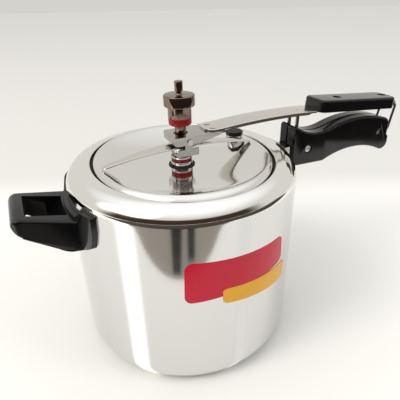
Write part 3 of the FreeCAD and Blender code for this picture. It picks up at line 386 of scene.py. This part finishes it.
def pot():
    """The shell as rows from the middle of the base, up the outside, over the lip and back."""
    edge, base = oval_radius(MOUTH, TURNS), BASE_CORNER - WALL
    outer = flange(RADIUS, SHOULDER, HEIGHT, edge + LIP, 28)
    inner = flange(RADIUS - WALL, SHOULDER - WALL, HEIGHT - WALL, edge + LIP, 16)
    turn = np.radians(np.linspace(90, 270, 11))[:, None]
    middle = (outer[1][0] + inner[1][0]) / 2
    half = (outer[1][0] - inner[1][0]) / 2
    lips = (edge + LIP + LIP * np.cos(turn), middle + half * np.sin(turn))
    runs = [
        all_round(line((0, 0), (RADIUS - BASE_CORNER, 0), 10)),
        all_round(arc((RADIUS - BASE_CORNER, BASE_CORNER), BASE_CORNER, -90, 0, 18)),
        all_round(line((RADIUS, BASE_CORNER), (RADIUS, HEIGHT - SHOULDER), 24)),
        (outer[0][::-1], outer[1][::-1]),
        lips,
        inner,
        all_round(line((RADIUS - WALL, HEIGHT - SHOULDER), (RADIUS - WALL, BASE_THICK + base), 12)),
        all_round(arc((RADIUS - WALL - base, BASE_THICK + base), base, 0, -90, 12)),
        all_round(line((RADIUS - WALL - base, BASE_THICK), (0, BASE_THICK), 8)),
    ]
    r, z = np.vstack([run[0] for run in runs]), np.vstack([run[1] for run in runs])
    points = np.stack([r * np.cos(TURNS), r * np.sin(TURNS), z], axis=-1)
    return surface("pot_shell", points, SPUN, "pot_body", sharp=50)


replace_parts(pot(), "pot_body")
print("pot: radius", round(RADIUS, 1), "height", round(HEIGHT, 1), "mouth", MOUTH.round(1))

# %% [markdown]
# ## The lid and its gasket
# The lid's panel is an oval dish: shallow in the middle, rising to a crest, with a rounded edge
# that drops into the mouth. Its height is the lower of two surfaces, a large ball and the rounded
# crest. A soft minimum blends them, because a press leaves no crease there.

# %% Lid
LID_GAP, LID_ROUND, LID_THICK, DISH = 1.4, 7.0, 3.0, 300.0
LID_LOW, LID_CREST = span("lid_plate", 2)
DISH_LOW, RIM_TOP = 174.4, span("lid_gasket", 2)[0]
DISH_REACH, CREST_BLEND, RIM_EASE = 92, 0.5, 0.6
GASKET_REACH, GASKET_ROUND = 4.2, 2.4


def dished(r, low, radius):
    """Height of a ball's underside at a distance r from the axis: low + R - sqrt(R^2 - r^2)."""
    return low + radius - np.sqrt(radius ** 2 - r ** 2)


def soft_lower(a, b, blend):
    """The lower of two heights, rounded where they cross: -k ln(e^(-a/k) + e^(-b/k))."""
    return -blend * np.logaddexp(-a / blend, -b / blend)


def lid():
    """Rows from the middle of the top, over the crest and rim, and back under to the middle."""
    edge = oval_radius(MOUTH - LID_GAP, TURNS)
    share = np.concatenate([np.linspace(0, 1, 40), 1 + np.linspace(0, 1, 16)[1:]])[:, None]
    turn = np.clip(share - 1, 0, 1) * pi / 2
    r = np.clip(share, 0, 1) * (edge - LID_ROUND) + LID_ROUND * np.sin(turn)
    crest = LID_CREST - LID_ROUND + LID_ROUND * np.cos(turn)
    z = soft_lower(dished(np.minimum(r, DISH_REACH), DISH_LOW, DISH), crest, CREST_BLEND)
    rim = oval_radius(MOUTH + RIM_REACH, TURNS)
    under = oval_radius(MOUTH - LID_GAP - LID_THICK, TURNS)
    share = np.linspace(1, 0, 30)[:, None]
    below = np.minimum(dished(under * share, DISH_LOW - LID_THICK, DISH + LID_THICK),
                       LID_CREST - LID_THICK)
    ones = np.ones((1, AROUND))
    r = np.vstack([r, edge * ones, rim - RIM_EASE, rim * ones, rim * ones, under * ones,
                   under * share])
    z = np.vstack([z, RIM_TOP * ones, RIM_TOP * ones, (RIM_TOP - RIM_EASE) * ones,
                   LID_LOW * ones, LID_LOW * ones, below])
    points = np.stack([r * np.cos(TURNS), r * np.sin(TURNS), z], axis=-1)
    return surface("lid_panel", points, BUFFED, "lid_plate", sharp=50)


def gasket():
    """A rubber ring with a rounded outer shoulder, carried round the oval mouth."""
    low, high = span("lid_gasket", 2)
    inner = oval_radius(MOUTH - LID_GAP + 0.1, TURNS)
    outer = oval_radius(MOUTH + GASKET_REACH, TURNS)
    a = np.radians(np.linspace(0, 90, 9))[:, None]
    ones = np.ones((1, AROUND))
    r = np.vstack([outer * ones, outer - GASKET_ROUND + GASKET_ROUND * np.cos(a), inner * ones,
                   inner * ones])
    z = np.vstack([low * ones, high - GASKET_ROUND + GASKET_ROUND * np.sin(a) * ones, high * ones,
                   low * ones])
    points = np.stack([r * np.cos(TURNS), r * np.sin(TURNS), z], axis=-1)
    return surface("gasket_ring", points, RUBBER, "lid_gasket", rows_wrap=True)


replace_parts(lid(), "lid_plate")
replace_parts(gasket(), "lid_gasket")
print("lid crest", round(LID_CREST, 1), "rim top", round(RIM_TOP, 1))

# %% [markdown]
# ## The sticker
# The sticker is two overlapping fields of plain film with rounded corners, and nothing is printed
# on them. Each is a flat four-cornered patch laid on the wall: the point at (x, z) goes to the
# depth -sqrt(R^2 - x^2). A film has a thickness, so each patch is a thin closed skin.

# %% Sticker
FILM, END_ROUND, SIDE_ROUND = 0.12, 0.06, 0.16


def film(name, corners, look, lift):
    """A patch between four (x, z) corners laid on the pot's wall, lift millimetres proud of it.

    A square's point (u, v), each from -1 to 1, goes to its place between the corners. Within the
    last share e of u, v is drawn in by f (1 - sqrt(1 - n^2)), where n runs from 0 to 1 across that
    share and f is v's own share, and u is drawn in likewise near the ends of v. That rounds the
    corners.
    """
    u, v = np.meshgrid(np.linspace(-1, 1, 61), np.linspace(-1, 1, 31))
    near_end = np.clip((np.abs(u) - (1 - END_ROUND)) / END_ROUND, 0, 1)
    near_side = np.clip((np.abs(v) - (1 - SIDE_ROUND)) / SIDE_ROUND, 0, 1)
    v = v * (1 - SIDE_ROUND * (1 - np.sqrt(1 - near_end ** 2)))
    u = u * (1 - END_ROUND * (1 - np.sqrt(1 - near_side ** 2)))
    a, b = ((u + 1) / 2)[..., None], ((v + 1) / 2)[..., None]
    low_left, low_right, high_right, high_left = (np.array(c, float) for c in corners)
    flat = ((low_left * (1 - a) + low_right * a) * (1 - b)
            + (high_left * (1 - a) + high_right * a) * b)
    x, z = flat[..., 0], flat[..., 1]

    def laid(depth):
        """The patch laid on the wall, depth millimetres proud of it."""
        return np.stack([x, -np.sqrt((RADIUS + depth) ** 2 - x ** 2), z], axis=-1)

    over, under = laid(lift), laid(lift - FILM)
    points = np.stack([over, under])
    rows, columns = over.shape[:2]
    index = np.arange(2 * rows * columns).reshape(2, rows, columns)

    def quads(i):
        """The four corners of every cell of a grid of point numbers."""
        return np.stack([i[:-1, :-1], i[:-1, 1:], i[1:, 1:], i[1:, :-1]], axis=-1).reshape(-1, 4)

    # A strip round the edge joins the front to the back.
    rim = np.stack([np.concatenate([s[0], s[1:, -1], s[-1, -2::-1], s[-2:0:-1, 0]]) for s in index])
    rim = np.hstack([rim, rim[:, :1]])
    faces = np.vstack([quads(index[0]), quads(index[1])[:, ::-1], quads(rim)])
    mesh = bpy.data.meshes.new(name)
    mesh.from_pydata((points * MM).reshape(-1, 3), [], faces.tolist())
    weld(mesh)
    return piece(name, mesh, look, "side_sticker")


FIELD = [(-42, 99), (53, 108), (50.5, 135.5), (-41, 139)]
TAB = [(-11.5, 94), (59, 85), (59, 104), (-12, 109)]
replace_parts(film("sticker_field", FIELD, RED_FILM, lift=0.15), "side_sticker")
film("sticker_tab", TAB, YELLOW_FILM, lift=0.29)
print("sticker: two films on a wall of radius", round(RADIUS, 1))

# %% [markdown]
# ## The vent, its rings and the weight
# These are turned on a lathe, so each is a profile spun about an upright axis. Every edge is
# broken by a few tenths of a millimetre, because that is what catches the light on a turned part.

# %% Vent and weight
TUBE, BORE, STEM = 5.0, 2.0, 8.6
WEIGHT_BORE, WEIGHT_STEP, KNOB_NECK, KNOB_FLARE = (219.4, 221.8), 229.4, 241.8, 242.9


def ring(node, name, look, soft):
    """A plain ring on the vent tube, of its node's own size, with eased edges."""
    low, high = span(node, 2)
    made = turned(name, rounded_ring(TUBE, span(node, 0)[1], low, high, soft), look, node)
    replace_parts(made, node)


for node, name, look, soft in (
        ("vent_washer", "vent_washer_turned", RUBBER, 0.3),
        ("vent_base_ring", "vent_base_turned", PLATED, 0.4),
        ("red_seal_ring", "red_seal_turned", SILICONE, 1.0),
        ("vent_rim_ring", "vent_rim_turned", PLATED, 0.4),
        ("vent_top_nut", "vent_nut_turned", NICKEL, 0.4),
        ("strap_spacer", "strap_spacer_turned", PLATED, 0.5)):
    ring(node, name, look, soft)

vent_low, vent_high = span("vent_tube", 2)
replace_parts(turned("vent_tube_turned", [
    [(BORE, vent_low), (TUBE, vent_low), (TUBE, vent_high - 3)],
    line((TUBE, vent_high - 2.6), (3, vent_high), 4),
    [(BORE, vent_high)]], NICKEL, "vent_tube"), "vent_tube")


def weight_profile():
    """The weight's outline: a bore below, a waist over the band, a step, and a wide cap."""
    low, top = span("weight_body", 2)
    band, step, cap = span("weight_band", 2)[1], WEIGHT_STEP, span("weight_body", 0)[1]
    side, peak = WEIGHT_BORE
    return [[(0, peak), (5.4, side), (5.4, low), (STEM, low), (STEM, band), (10.1, band)],
            arc((10.1, band + 0.4), 0.4, -90, 0, 5), [(10.5, step - 0.8)],
            arc((11.3, step - 0.8), 0.8, 180, 90, 6),
            arc((cap - 0.9, step + 0.9), 0.9, -90, 0, 7), arc((cap - 0.9, top - 0.9), 0.9, 0, 90, 7),
            [(4.5, top), (0, top)]]


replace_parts(turned("weight_turned", weight_profile(), NICKEL, "weight_body"), "weight_body")
band_low, band_high = span("weight_band", 2)
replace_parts(turned("weight_band_moulded", [
    [(STEM, band_high), (STEM, band_low)], arc((8.3, band_low + 2), 2, -80, 0, 8),
    [(10.3, band_high - 0.4)], arc((9.9, band_high - 0.4), 0.4, 0, 90, 4)], SILICONE, "weight_band"),
    "weight_band")
knob_low, knob_high = span("weight_knob", 2)
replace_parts(turned("weight_knob_turned", [
    [(0, knob_low), (3.2, knob_low)], arc((3.7, knob_low + 1.2), 1.2, 200, 180, 4),
    [(2.5, KNOB_NECK)], arc((2.85, KNOB_FLARE), 0.8, -90, 0, 6),
    arc((2.85, knob_high - 0.8), 0.8, 0, 90, 6),
    [(0, knob_high)]], NICKEL, "weight_knob"), "weight_knob")

# %% [markdown]
# ## The lever and the strap
# Both are bent from flat strip: a cross-section carried along a curve. The lever's section also
# changes as it goes. Its nose is round in plan, its edges are folded down between the pot and the
# grip to stiffen it, and it narrows where it enters the grip and curls round the wire loop.

# %% Lever strip
ARCH, FLAT_TOP, ARCH_ENDS, ARCH_TOP = 680.0, 206.6, (37.0, 150.0), 206.8
# Where the loop's wire runs, as (x, z), and where the strip reaches the curl below it.
WIRE_AT = (258.6, 199.0)
TAIL = (WIRE_AT[0], 197.299)
HALF, NOSE, STRIP, LIP_DEEP, LIP_WIDE, EDGE_ROUND = 12.3, 9, 1.8, 1.5, 1.4, 0.6
# The stretch where the lips are folded down, and where the strip narrows towards the grip.
LIPS, NARROWING = (44, 138), (144, 146)
CURL, CURL_HALF, CURL_STEPS = 1.5, 6.8, 26


def lever_top(x):
    """Height of the strip's top: level, then an arc through both arch ends, then a straight slope."""
    (x0, x1), chord = ARCH_ENDS, np.hypot(ARCH_ENDS[1] - ARCH_ENDS[0], ARCH_TOP - FLAT_TOP)
    centre = ((x0 + x1) / 2, (FLAT_TOP + ARCH_TOP) / 2 - sqrt(ARCH ** 2 - (chord / 2) ** 2))
    bow = centre[1] + np.sqrt(ARCH ** 2 - (x - centre[0]) ** 2)
    tail = ARCH_TOP + (x - x1) * (TAIL[1] - ARCH_TOP) / (TAIL[0] - x1)
    return np.where(x < x0, FLAT_TOP, np.where(x < x1, bow, tail))


def strip_section(half, thick, lip):
    """The strip's cross-section as (y, depth) loops, one row for each station.

    It runs over the top with rounded corners, down the outside of the lip, back up its inside and
    across underneath. A lip of no depth leaves a plain strip.
    """
    zero = np.zeros_like(half)
    a = np.radians(np.linspace(0, 90, 5))
    corner = half[:, None] - EDGE_ROUND + EDGE_ROUND * np.sin(a)
    fall = -EDGE_ROUND + EDGE_ROUND * np.cos(a) + zero[:, None]
    low = -(thick + lip)
    right_y = np.stack([half, half - LIP_WIDE, half - LIP_WIDE, half / 2], axis=1)
    right_z = np.stack([low, low, -thick, -thick], axis=1)
    y = np.hstack([zero[:, None], corner, right_y, -right_y[:, ::-1], -corner[:, ::-1]])
    z = np.hstack([zero[:, None], fall, right_z, right_z[:, ::-1], fall[:, ::-1]])
    return y, z


def lever():
    """The section along the strip's top, then round the curl, closed at both ends."""
    left = span("lever_strip", 0)[0]
    x = np.concatenate([left + NOSE * (1 - np.cos(np.linspace(0, pi / 2, 14))),
                        np.linspace(left + NOSE + 1, NARROWING[0] - 0.5, 70),
                        np.linspace(*NARROWING, 5), np.linspace(ARCH_ENDS[1], TAIL[0], 50)])
    z = lever_top(x)
    nose = HALF - NOSE + np.sqrt(np.clip(NOSE ** 2 - (left + NOSE - x) ** 2, 0, None))
    half = np.where(x < left + NOSE, nose, HALF)
    # The strip loses 2.4 mm of half-width at the grip and 3.1 mm more just before the curl.
    half = half - np.clip((x - NARROWING[0]) / 2, 0, 1) * 2.4 - np.clip((x - 252.6) / 2.5, 0, 1) * 3.1
    blend = np.clip((x - LIPS[0]) / 4, 0, 1) * np.clip((LIPS[1] - x) / 4, 0, 1)
    # It also thins by 0.3 mm on its way to the curl.
    thick = STRIP - np.clip((x - 240) / 15, 0, 1) * 0.3
    slope = np.gradient(z, x)
    # The curl turns upwards and back about the wire, from nearly straight below it.
    a = np.radians(np.linspace(-85, 205, CURL_STEPS))
    x = np.concatenate([x, WIRE_AT[0] + CURL * np.cos(a)])
    z = np.concatenate([z, WIRE_AT[1] + CURL * np.sin(a)])
    half = np.concatenate([half, np.full(CURL_STEPS, CURL_HALF)])
    thick = np.concatenate([thick, np.full(CURL_STEPS, 1.5)])
    lip = np.concatenate([LIP_DEEP * blend, np.zeros(CURL_STEPS)])
    direction = np.concatenate([np.arctan(slope), a + pi / 2])
    y, depth = strip_section(half, thick, lip)
    points = np.stack([x[:, None] - depth * np.sin(direction)[:, None], y,
                       z[:, None] + depth * np.cos(direction)[:, None]], axis=-1)
    middle = points.mean(axis=1, keepdims=True)
    first, last = np.repeat(middle[:1], y.shape[1], 1), np.repeat(middle[-1:], y.shape[1], 1)
    return surface("lever_strip_bent", np.concatenate([first, points, last]), BRUSHED,
                   "lever_strip", sharp=45)


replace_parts(lever(), "lever_strip")


# %% Strap and loop
# The height of the strap's tips, half the chord that its bow is worked out from, and its thickness.
STRAP_END, STRAP_CHORD, STRAP_THICK = 185.3, 74.0, 1.1
LOOP_LONG, LOOP_HALF, LOOP_CORNER, LOOP_WIRE, LOOP_LEAN = 29.6, 9.6, 2.6, 1.3, radians(9.5)


def strap():
    """A bowed leaf: its width falls from the middle to the tips and its height follows an arc."""
    reach, top = span("lid_strap", 0)[1], span("lid_strap", 2)[1]
    x = reach * np.sin(np.linspace(-pi / 2, pi / 2, 90))
    rise = top - STRAP_END
    bow = (STRAP_CHORD ** 2 + rise ** 2) / 2 / rise
    z = top - bow + np.sqrt(bow ** 2 - x ** 2)
    half = 8 - 4.5 * np.clip((np.abs(x) - 16) / (reach - 19), 0, 1)
    tip = np.clip((reach - np.abs(x)) / 3, 0, 1)
    half = half * np.sqrt(1 - (1 - tip) ** 2)
    across = np.linspace(-1, 1, 9)
    y_top, crown = half[:, None] * across, 0.35 * (1 - across ** 4) - 0.35
    over = np.stack([x[:, None] + 0 * y_top, y_top, z[:, None] + crown + 0 * y_top], axis=-1)
    under = over[:, ::-1] + np.array([0, 0, -STRAP_THICK])
    return surface("strap_leaf", np.concatenate([over, under], axis=1), BRUSHED, "lid_strap",
                   sharp=45)


def loop():
    """A round wire carried round a rectangle with rounded corners, leaning towards the pot.

    The path is in the loop's own plane, (across, down), and a frame of two directions, one in the
    plane and square to the wire and one square to the plane, carries the wire's circle.
    """
    side, low = LOOP_HALF - LOOP_CORNER, -LOOP_LONG + LOOP_CORNER
    centres = [(side, -LOOP_CORNER), (-side, -LOOP_CORNER), (-side, low), (side, low)]
    path = np.vstack([arc(c, LOOP_CORNER, q * 90, q * 90 + 90, 10) for q, c in enumerate(centres)])
    outward = np.vstack([arc((0, 0), 1, q * 90, q * 90 + 90, 10) for q in range(4)])
    a = np.linspace(0, 2 * pi, 20, endpoint=False)
    flat = path[:, None, :] + LOOP_WIRE * np.cos(a)[None, :, None] * outward[:, None, :]
    proud = LOOP_WIRE * np.sin(a)[None, :] + 0 * flat[..., 0]
    x = WIRE_AT[0] + flat[..., 1] * sin(LOOP_LEAN) + proud * cos(LOOP_LEAN)
    z = WIRE_AT[1] + flat[..., 1] * cos(LOOP_LEAN) - proud * sin(LOOP_LEAN)
    return surface("locking_loop_wire", np.stack([x, flat[..., 0], z], axis=-1), WIRE,
                   "locking_loop", rows_wrap=True, sharp=60)


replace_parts(strap(), "lid_strap")
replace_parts(loop(), "locking_loop")
print("strip, strap and loop bent")

# %% [markdown]
# ## Pressed and moulded parts
# The other parts have the right shape already, but a CAD edge is perfectly sharp and a real one
# never is. A copy of each is welded, its flat faces are made whole, and a Bevel modifier rounds its
# edges: up to 0.2 mm on steel and a little more on mouldings. The copy stands in for the node.

# %% Eased parts
def eased(node, look, width, segments=2):
    """A welded copy of a node with its edges rounded by a width in millimetres."""
    mesh = frame["nodes"][node].data.copy()
    mesh.name = node + "_eased"
    weld(mesh, flat=1)
    made = piece(node + "_eased", mesh, look, node, sharp=32)
    bevel = made.modifiers.new("eased_edges", "BEVEL")
    bevel.width, bevel.segments = width * MM, segments
    bevel.limit_method, bevel.angle_limit = "ANGLE", radians(50)
    bevel.use_clamp_overlap = True
    bevel.harden_normals = True
    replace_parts(made, node)


for node in ("lever_yoke", "vent_bracket", "fulcrum_bracket", "handle_bracket"):
    eased(node, BRIGHT, 0.2)
for node in ("body_handle_screws", "body_handle_nuts", "lever_grip_screws", "lever_pivot_rivets",
             "safety_plug_seat", "safety_plug_nut", "yoke_rivets"):
    eased(node, PLATED, 0.15)
for node in ("helper_handle", "body_handle_near_shell", "body_handle_far_shell", "lever_grip",
             "handle_skirt"):
    eased(node, PHENOLIC, 0.5, 3)
eased("safety_plug", RUBBER, 0.4)

# %% [markdown]
# ## Parts that stay as they are
# What is left is small or hidden, and a CAD mesh is fine enough for it. It only needs its finish.

# %% Plain nodes
LOOKS = {"satin_aluminium": SPUN, "stainless_steel": BRUSHED, "bright_steel": PLATED,
         "turned_brass": BRASS}
plain = [thing for thing in frame["nodes"].values() if not thing.hide_render]
for thing in plain:
    for holder in thing.material_slots:
        holder.material = LOOKS[SLOT[thing.name]]
print("plain nodes:", sorted(thing.name for thing in plain))

# %% [markdown]
# ## Floor, lights and what the metal reflects
# Polished metal shows its surroundings more than itself, so the room matters as much as the metal.
# The table and ceiling are pale, a tall window stands on the left, and the room in front of the table
# is dark and brown. The vertical wall of the pot looks down at the table, so it shows the table's
# rounded front edge and, beyond it, two dark chair legs. Sheets that lie just over the floor stand for
# those as painted reflections: they show only in reflections, where they put a grey field and dark
# bands on the pot's wall, so that they don't stand in any view.

# %% Table and dark sheets
AHEAD, ASIDE = np.array([sin(TURN), cos(TURN), 0]), np.array([cos(TURN), -sin(TURN), 0])


def sheet_at(name, outline, look, height):
    """A flat stage sheet; its outline is (ahead, aside) distances from the pot's axis, in metres."""
    corners = [AHEAD * ahead + ASIDE * aside + (0, 0, height) for ahead, aside in outline]
    mesh = bpy.data.meshes.new(name)
    mesh.from_pydata(corners, [], [tuple(range(len(corners)))])
    mesh.materials.append(look)
    made = bpy.data.objects.new(name, mesh)
    bpy.context.scene.collection.objects.link(made)
    return made


def reflected_only(thing):
    """Keep a stage sheet out of direct view, and let it neither shade nor light the floor."""
    thing.visible_camera = thing.visible_shadow = thing.visible_diffuse = False


# The table's own tone, and the greyer tone of the painted shade behind it.
FLOOR_TONE, PAINTED_SHADE_TONE = "#E5E4E0", "#D2D1CD"


def pale_table():
    """A matt white top, with painted shade that makes it a little greyer behind a line beyond the pot.

    It has no gloss at all, or it would show the sheets that lie just above it.
    """
    look, tree, shader = new_finish("pale_table", FLOOR_TONE, 0.0, 1.0,
                                    **{"Specular IOR Level": 0.0})
    where = add(tree, "TexCoord")
    ahead = add(tree, "VectorMath", {"operation": "DOT_PRODUCT"}, {1: AHEAD},
                {0: where.outputs["Object"]})
    # Painted shade: the top turns greyer behind this line.
    painted_shade_share = add(tree, "MapRange", {"interpolation_type": "SMOOTHSTEP"},
               {"From Min": 0.24, "From Max": 0.36}, {"Value": ahead.outputs["Value"]})
    tone = add(tree, "ValToRGB", links={"Fac": painted_shade_share.outputs["Result"]})
    tone.color_ramp.elements[0].color = linear(FLOOR_TONE)
    tone.color_ramp.elements[1].color = linear(PAINTED_SHADE_TONE)
    tree.links.new(tone.outputs["Color"], shader.inputs["Base Color"])
    return look


# The table's front edge is a parabola, nearest to the pot 33 mm left of its middle.
side = np.linspace(-0.38, 0.32, 41)
edge = -0.25 - 0.05 * ((side + 0.033) / 0.2075) ** 2
front = [(-0.46, side[-1]), (-0.46, side[0])]
sheet_at("table", [(-6, -6), (-6, 6), (6, 6), (6, -6)], pale_table(), 0)
# Painted reflections: a grey field, a dark brown field and two dark bars, seen only in reflections,
# darken the pot's wall.
reflected_only(sheet_at("front_floor", list(zip(edge.tolist(), side.tolist())) + front,
                        new_finish("grey_floor", "#8B857C", 0.0, 0.9)[0], 0.0004))
reflected_only(sheet_at("dark_room", [(-0.42, -1.5), (-0.42, 0.42), (-0.1, 0.55),
                                       (0.3, 0.9), (0.3, 4), (-4, 4), (-4, -4)],
                        new_finish("brown_room", "#2E231C", 0.0, 0.9)[0], 0.0006))
PAINTED_REFLECTION_DARK = new_finish("dark_leg", "#0B0D10", 0.0, 0.9)[0]
reflected_only(sheet_at("leg_left", [(-0.258, -0.036), (-0.258, -0.008), (-0.43, 0.008),
                                     (-0.43, -0.066)], PAINTED_REFLECTION_DARK, 0.0008))
reflected_only(sheet_at("leg_right", [(-0.283, 0.020), (-0.283, 0.047), (-0.43, 0.085),
                                      (-0.43, 0.036)], PAINTED_REFLECTION_DARK, 0.0008))


# %% Windows and room
LAMP_DISTANCE, LAMP_AIM = 3.2, Vector((0, 0, 0.1))


def direction(azimuth, elevation):
    """A unit vector at an azimuth from +X and an elevation above the floor, both in degrees."""
    turn, rise = radians(azimuth), radians(elevation)
    return Vector((cos(turn) * cos(rise), sin(turn) * cos(rise), sin(rise)))


def window(name, towards, size, power, colour):
    """A soft rectangular light in a direction of (azimuth, elevation) degrees from the pot."""
    out = direction(*towards)
    light = bpy.data.lights.new(name, "AREA")
    light.shape, light.size, light.size_y = "RECTANGLE", *size
    light.energy, light.color = power, linear(colour)[:3]
    made = bpy.data.objects.new(name, light)
    bpy.context.scene.collection.objects.link(made)
    made.location = out * LAMP_DISTANCE + LAMP_AIM
    made.rotation_euler = out.to_track_quat("Z", "Y").to_euler()
    made.visible_glossy = False


window("window_left", towards=(186, 40), size=(1.0, 1.6), power=38, colour="#FFFDF8")
window("window_right", towards=(318, 45), size=(0.8, 1.2), power=14, colour="#FBFCFF")


def gleam(name, start, azimuth, width, strength):
    """A painted highlight: a glowing sheet on the table, seen only in reflections, that fans out from
    a start under the pot, soft on both sides.

    A round wall shows lines that fan out from such a point as one upright streak. The glow's share
    is a smooth step of the cosine of the angle between a point and the direction, from none at the
    full half-width to all of it at a third of that.
    """
    look = bpy.data.materials.new(name)
    look.use_nodes = True
    tree = look.node_tree
    tree.nodes.clear()
    where = add(tree, "TexCoord")
    from_start = add(tree, "VectorMath", {"operation": "SUBTRACT"}, {1: (*start, 0)},
                     {0: where.outputs["Object"]})
    out = add(tree, "VectorMath", {"operation": "NORMALIZE"},
              links={0: from_start.outputs["Vector"]})
    towards = (cos(radians(azimuth)), sin(radians(azimuth)), 0)
    along = add(tree, "VectorMath", {"operation": "DOT_PRODUCT"}, {1: towards},
                {0: out.outputs["Vector"]})
    share = add(tree, "MapRange", {"interpolation_type": "SMOOTHSTEP"},
                {"From Min": cos(radians(width)), "From Max": cos(radians(width / 3))},
                {"Value": along.outputs["Value"]})
    glow = add(tree, "Emission", values={"Strength": strength, "Color": linear("#FFFDF8")})
    clear = add(tree, "BsdfTransparent")
    mixed = add(tree, "MixShader", links={0: share.outputs["Result"], 1: clear.outputs["BSDF"],
                                          2: glow.outputs["Emission"]})
    add(tree, "OutputMaterial", links={"Surface": mixed.outputs["Shader"]})
    near, far, half = 0.02, 1.2, radians(width)
    left, right = radians(azimuth) + np.array([-half, half])
    corners = [(start[0] + r * cos(a), start[1] + r * sin(a))
               for r, a in ((near, left), (near, right), (far, right), (far, left))]
    outline = [(x * AHEAD[0] + y * AHEAD[1], x * ASIDE[0] + y * ASIDE[1]) for x, y in corners]
    reflected_only(sheet_at(name, outline, look, 0.0003))


# Painted highlights: two glowing sheets paint upright streaks of light on the pot's wall.
gleam("gleam_left", start=(-0.0376, -0.0668), azimuth=188, width=12, strength=1.9)
gleam("gleam_right", start=(-0.0195, -0.0739), azimuth=309, width=9, strength=1.0)


def tall_room():
    """Light by direction: brighter towards the ceiling, and dark and brown low in front.

    The front share is a smooth step of the direction's part towards the front of the table, times
    one minus a smooth step of its height. A wide pane on the left is up to three times as strong.
    """
    room = bpy.data.worlds.new("room")
    room.use_nodes = True
    tree = room.node_tree
    tree.nodes.clear()
    where = add(tree, "TexCoord")
    height = add(tree, "SeparateXYZ", links={"Vector": where.outputs["Generated"]})
    share = add(tree, "MapRange", values={"From Min": -0.2},
                links={"Value": height.outputs["Z"]})
    tone = add(tree, "ValToRGB", links={"Fac": share.outputs["Result"]})
    stops = tone.color_ramp.elements
    stops[0].color, stops[1].color = linear("#8E8B86"), linear("#FFFFFF")
    for place, code in ((0.17, "#CFCDC7"), (0.62, "#D0CEC9"), (0.86, "#F6F6F6")):
        stops.new(place).color = linear(code)
    near = add(tree, "VectorMath", {"operation": "DOT_PRODUCT"}, {1: -AHEAD},
               {0: where.outputs["Generated"]})
    step = {"interpolation_type": "SMOOTHSTEP"}
    in_front = add(tree, "MapRange", step, {"From Min": 0.1, "From Max": 0.5},
                   {"Value": near.outputs["Value"]})
    low = add(tree, "MapRange", step, {"From Min": 0.34, "From Max": 0.5, "To Min": 1.0,
                                       "To Max": 0.0}, {"Value": height.outputs["Z"]})
    dark = add(tree, "Math", {"operation": "MULTIPLY"}, links={
        0: in_front.outputs["Result"], 1: low.outputs["Result"]})
    colour = add(tree, "Mix", {"data_type": "RGBA"}, {7: linear("#3A2D25")},
                 {0: dark.outputs["Value"], 6: tone.outputs["Color"]})
    at_pane = add(tree, "VectorMath", {"operation": "DOT_PRODUCT"}, {1: direction(186, 38)},
                  {0: where.outputs["Generated"]})
    strong = add(tree, "MapRange", step, {"From Min": cos(radians(32)), "From Max": cos(radians(8)),
                                          "To Min": 1.2, "To Max": 3.6},
                 {"Value": at_pane.outputs["Value"]})
    # Seen straight on, the room is plain and pale, from whichever side the pot is viewed.
    seen = add(tree, "LightPath").outputs["Is Camera Ray"]
    plain = add(tree, "Mix", {"data_type": "RGBA"}, {7: linear("#C4C2BD")},
                {0: seen, 6: colour.outputs[2]})
    even = add(tree, "Mix", values={3: 1.2}, links={0: seen, 2: strong.outputs["Result"]})
    glow = add(tree, "Background", links={"Color": plain.outputs[2], "Strength": even.outputs[0]})
    add(tree, "OutputWorld", links={"Surface": glow.outputs["Background"]})
    return room


bpy.context.scene.world = tall_room()
bpy.context.scene.view_settings.view_transform = "Standard"
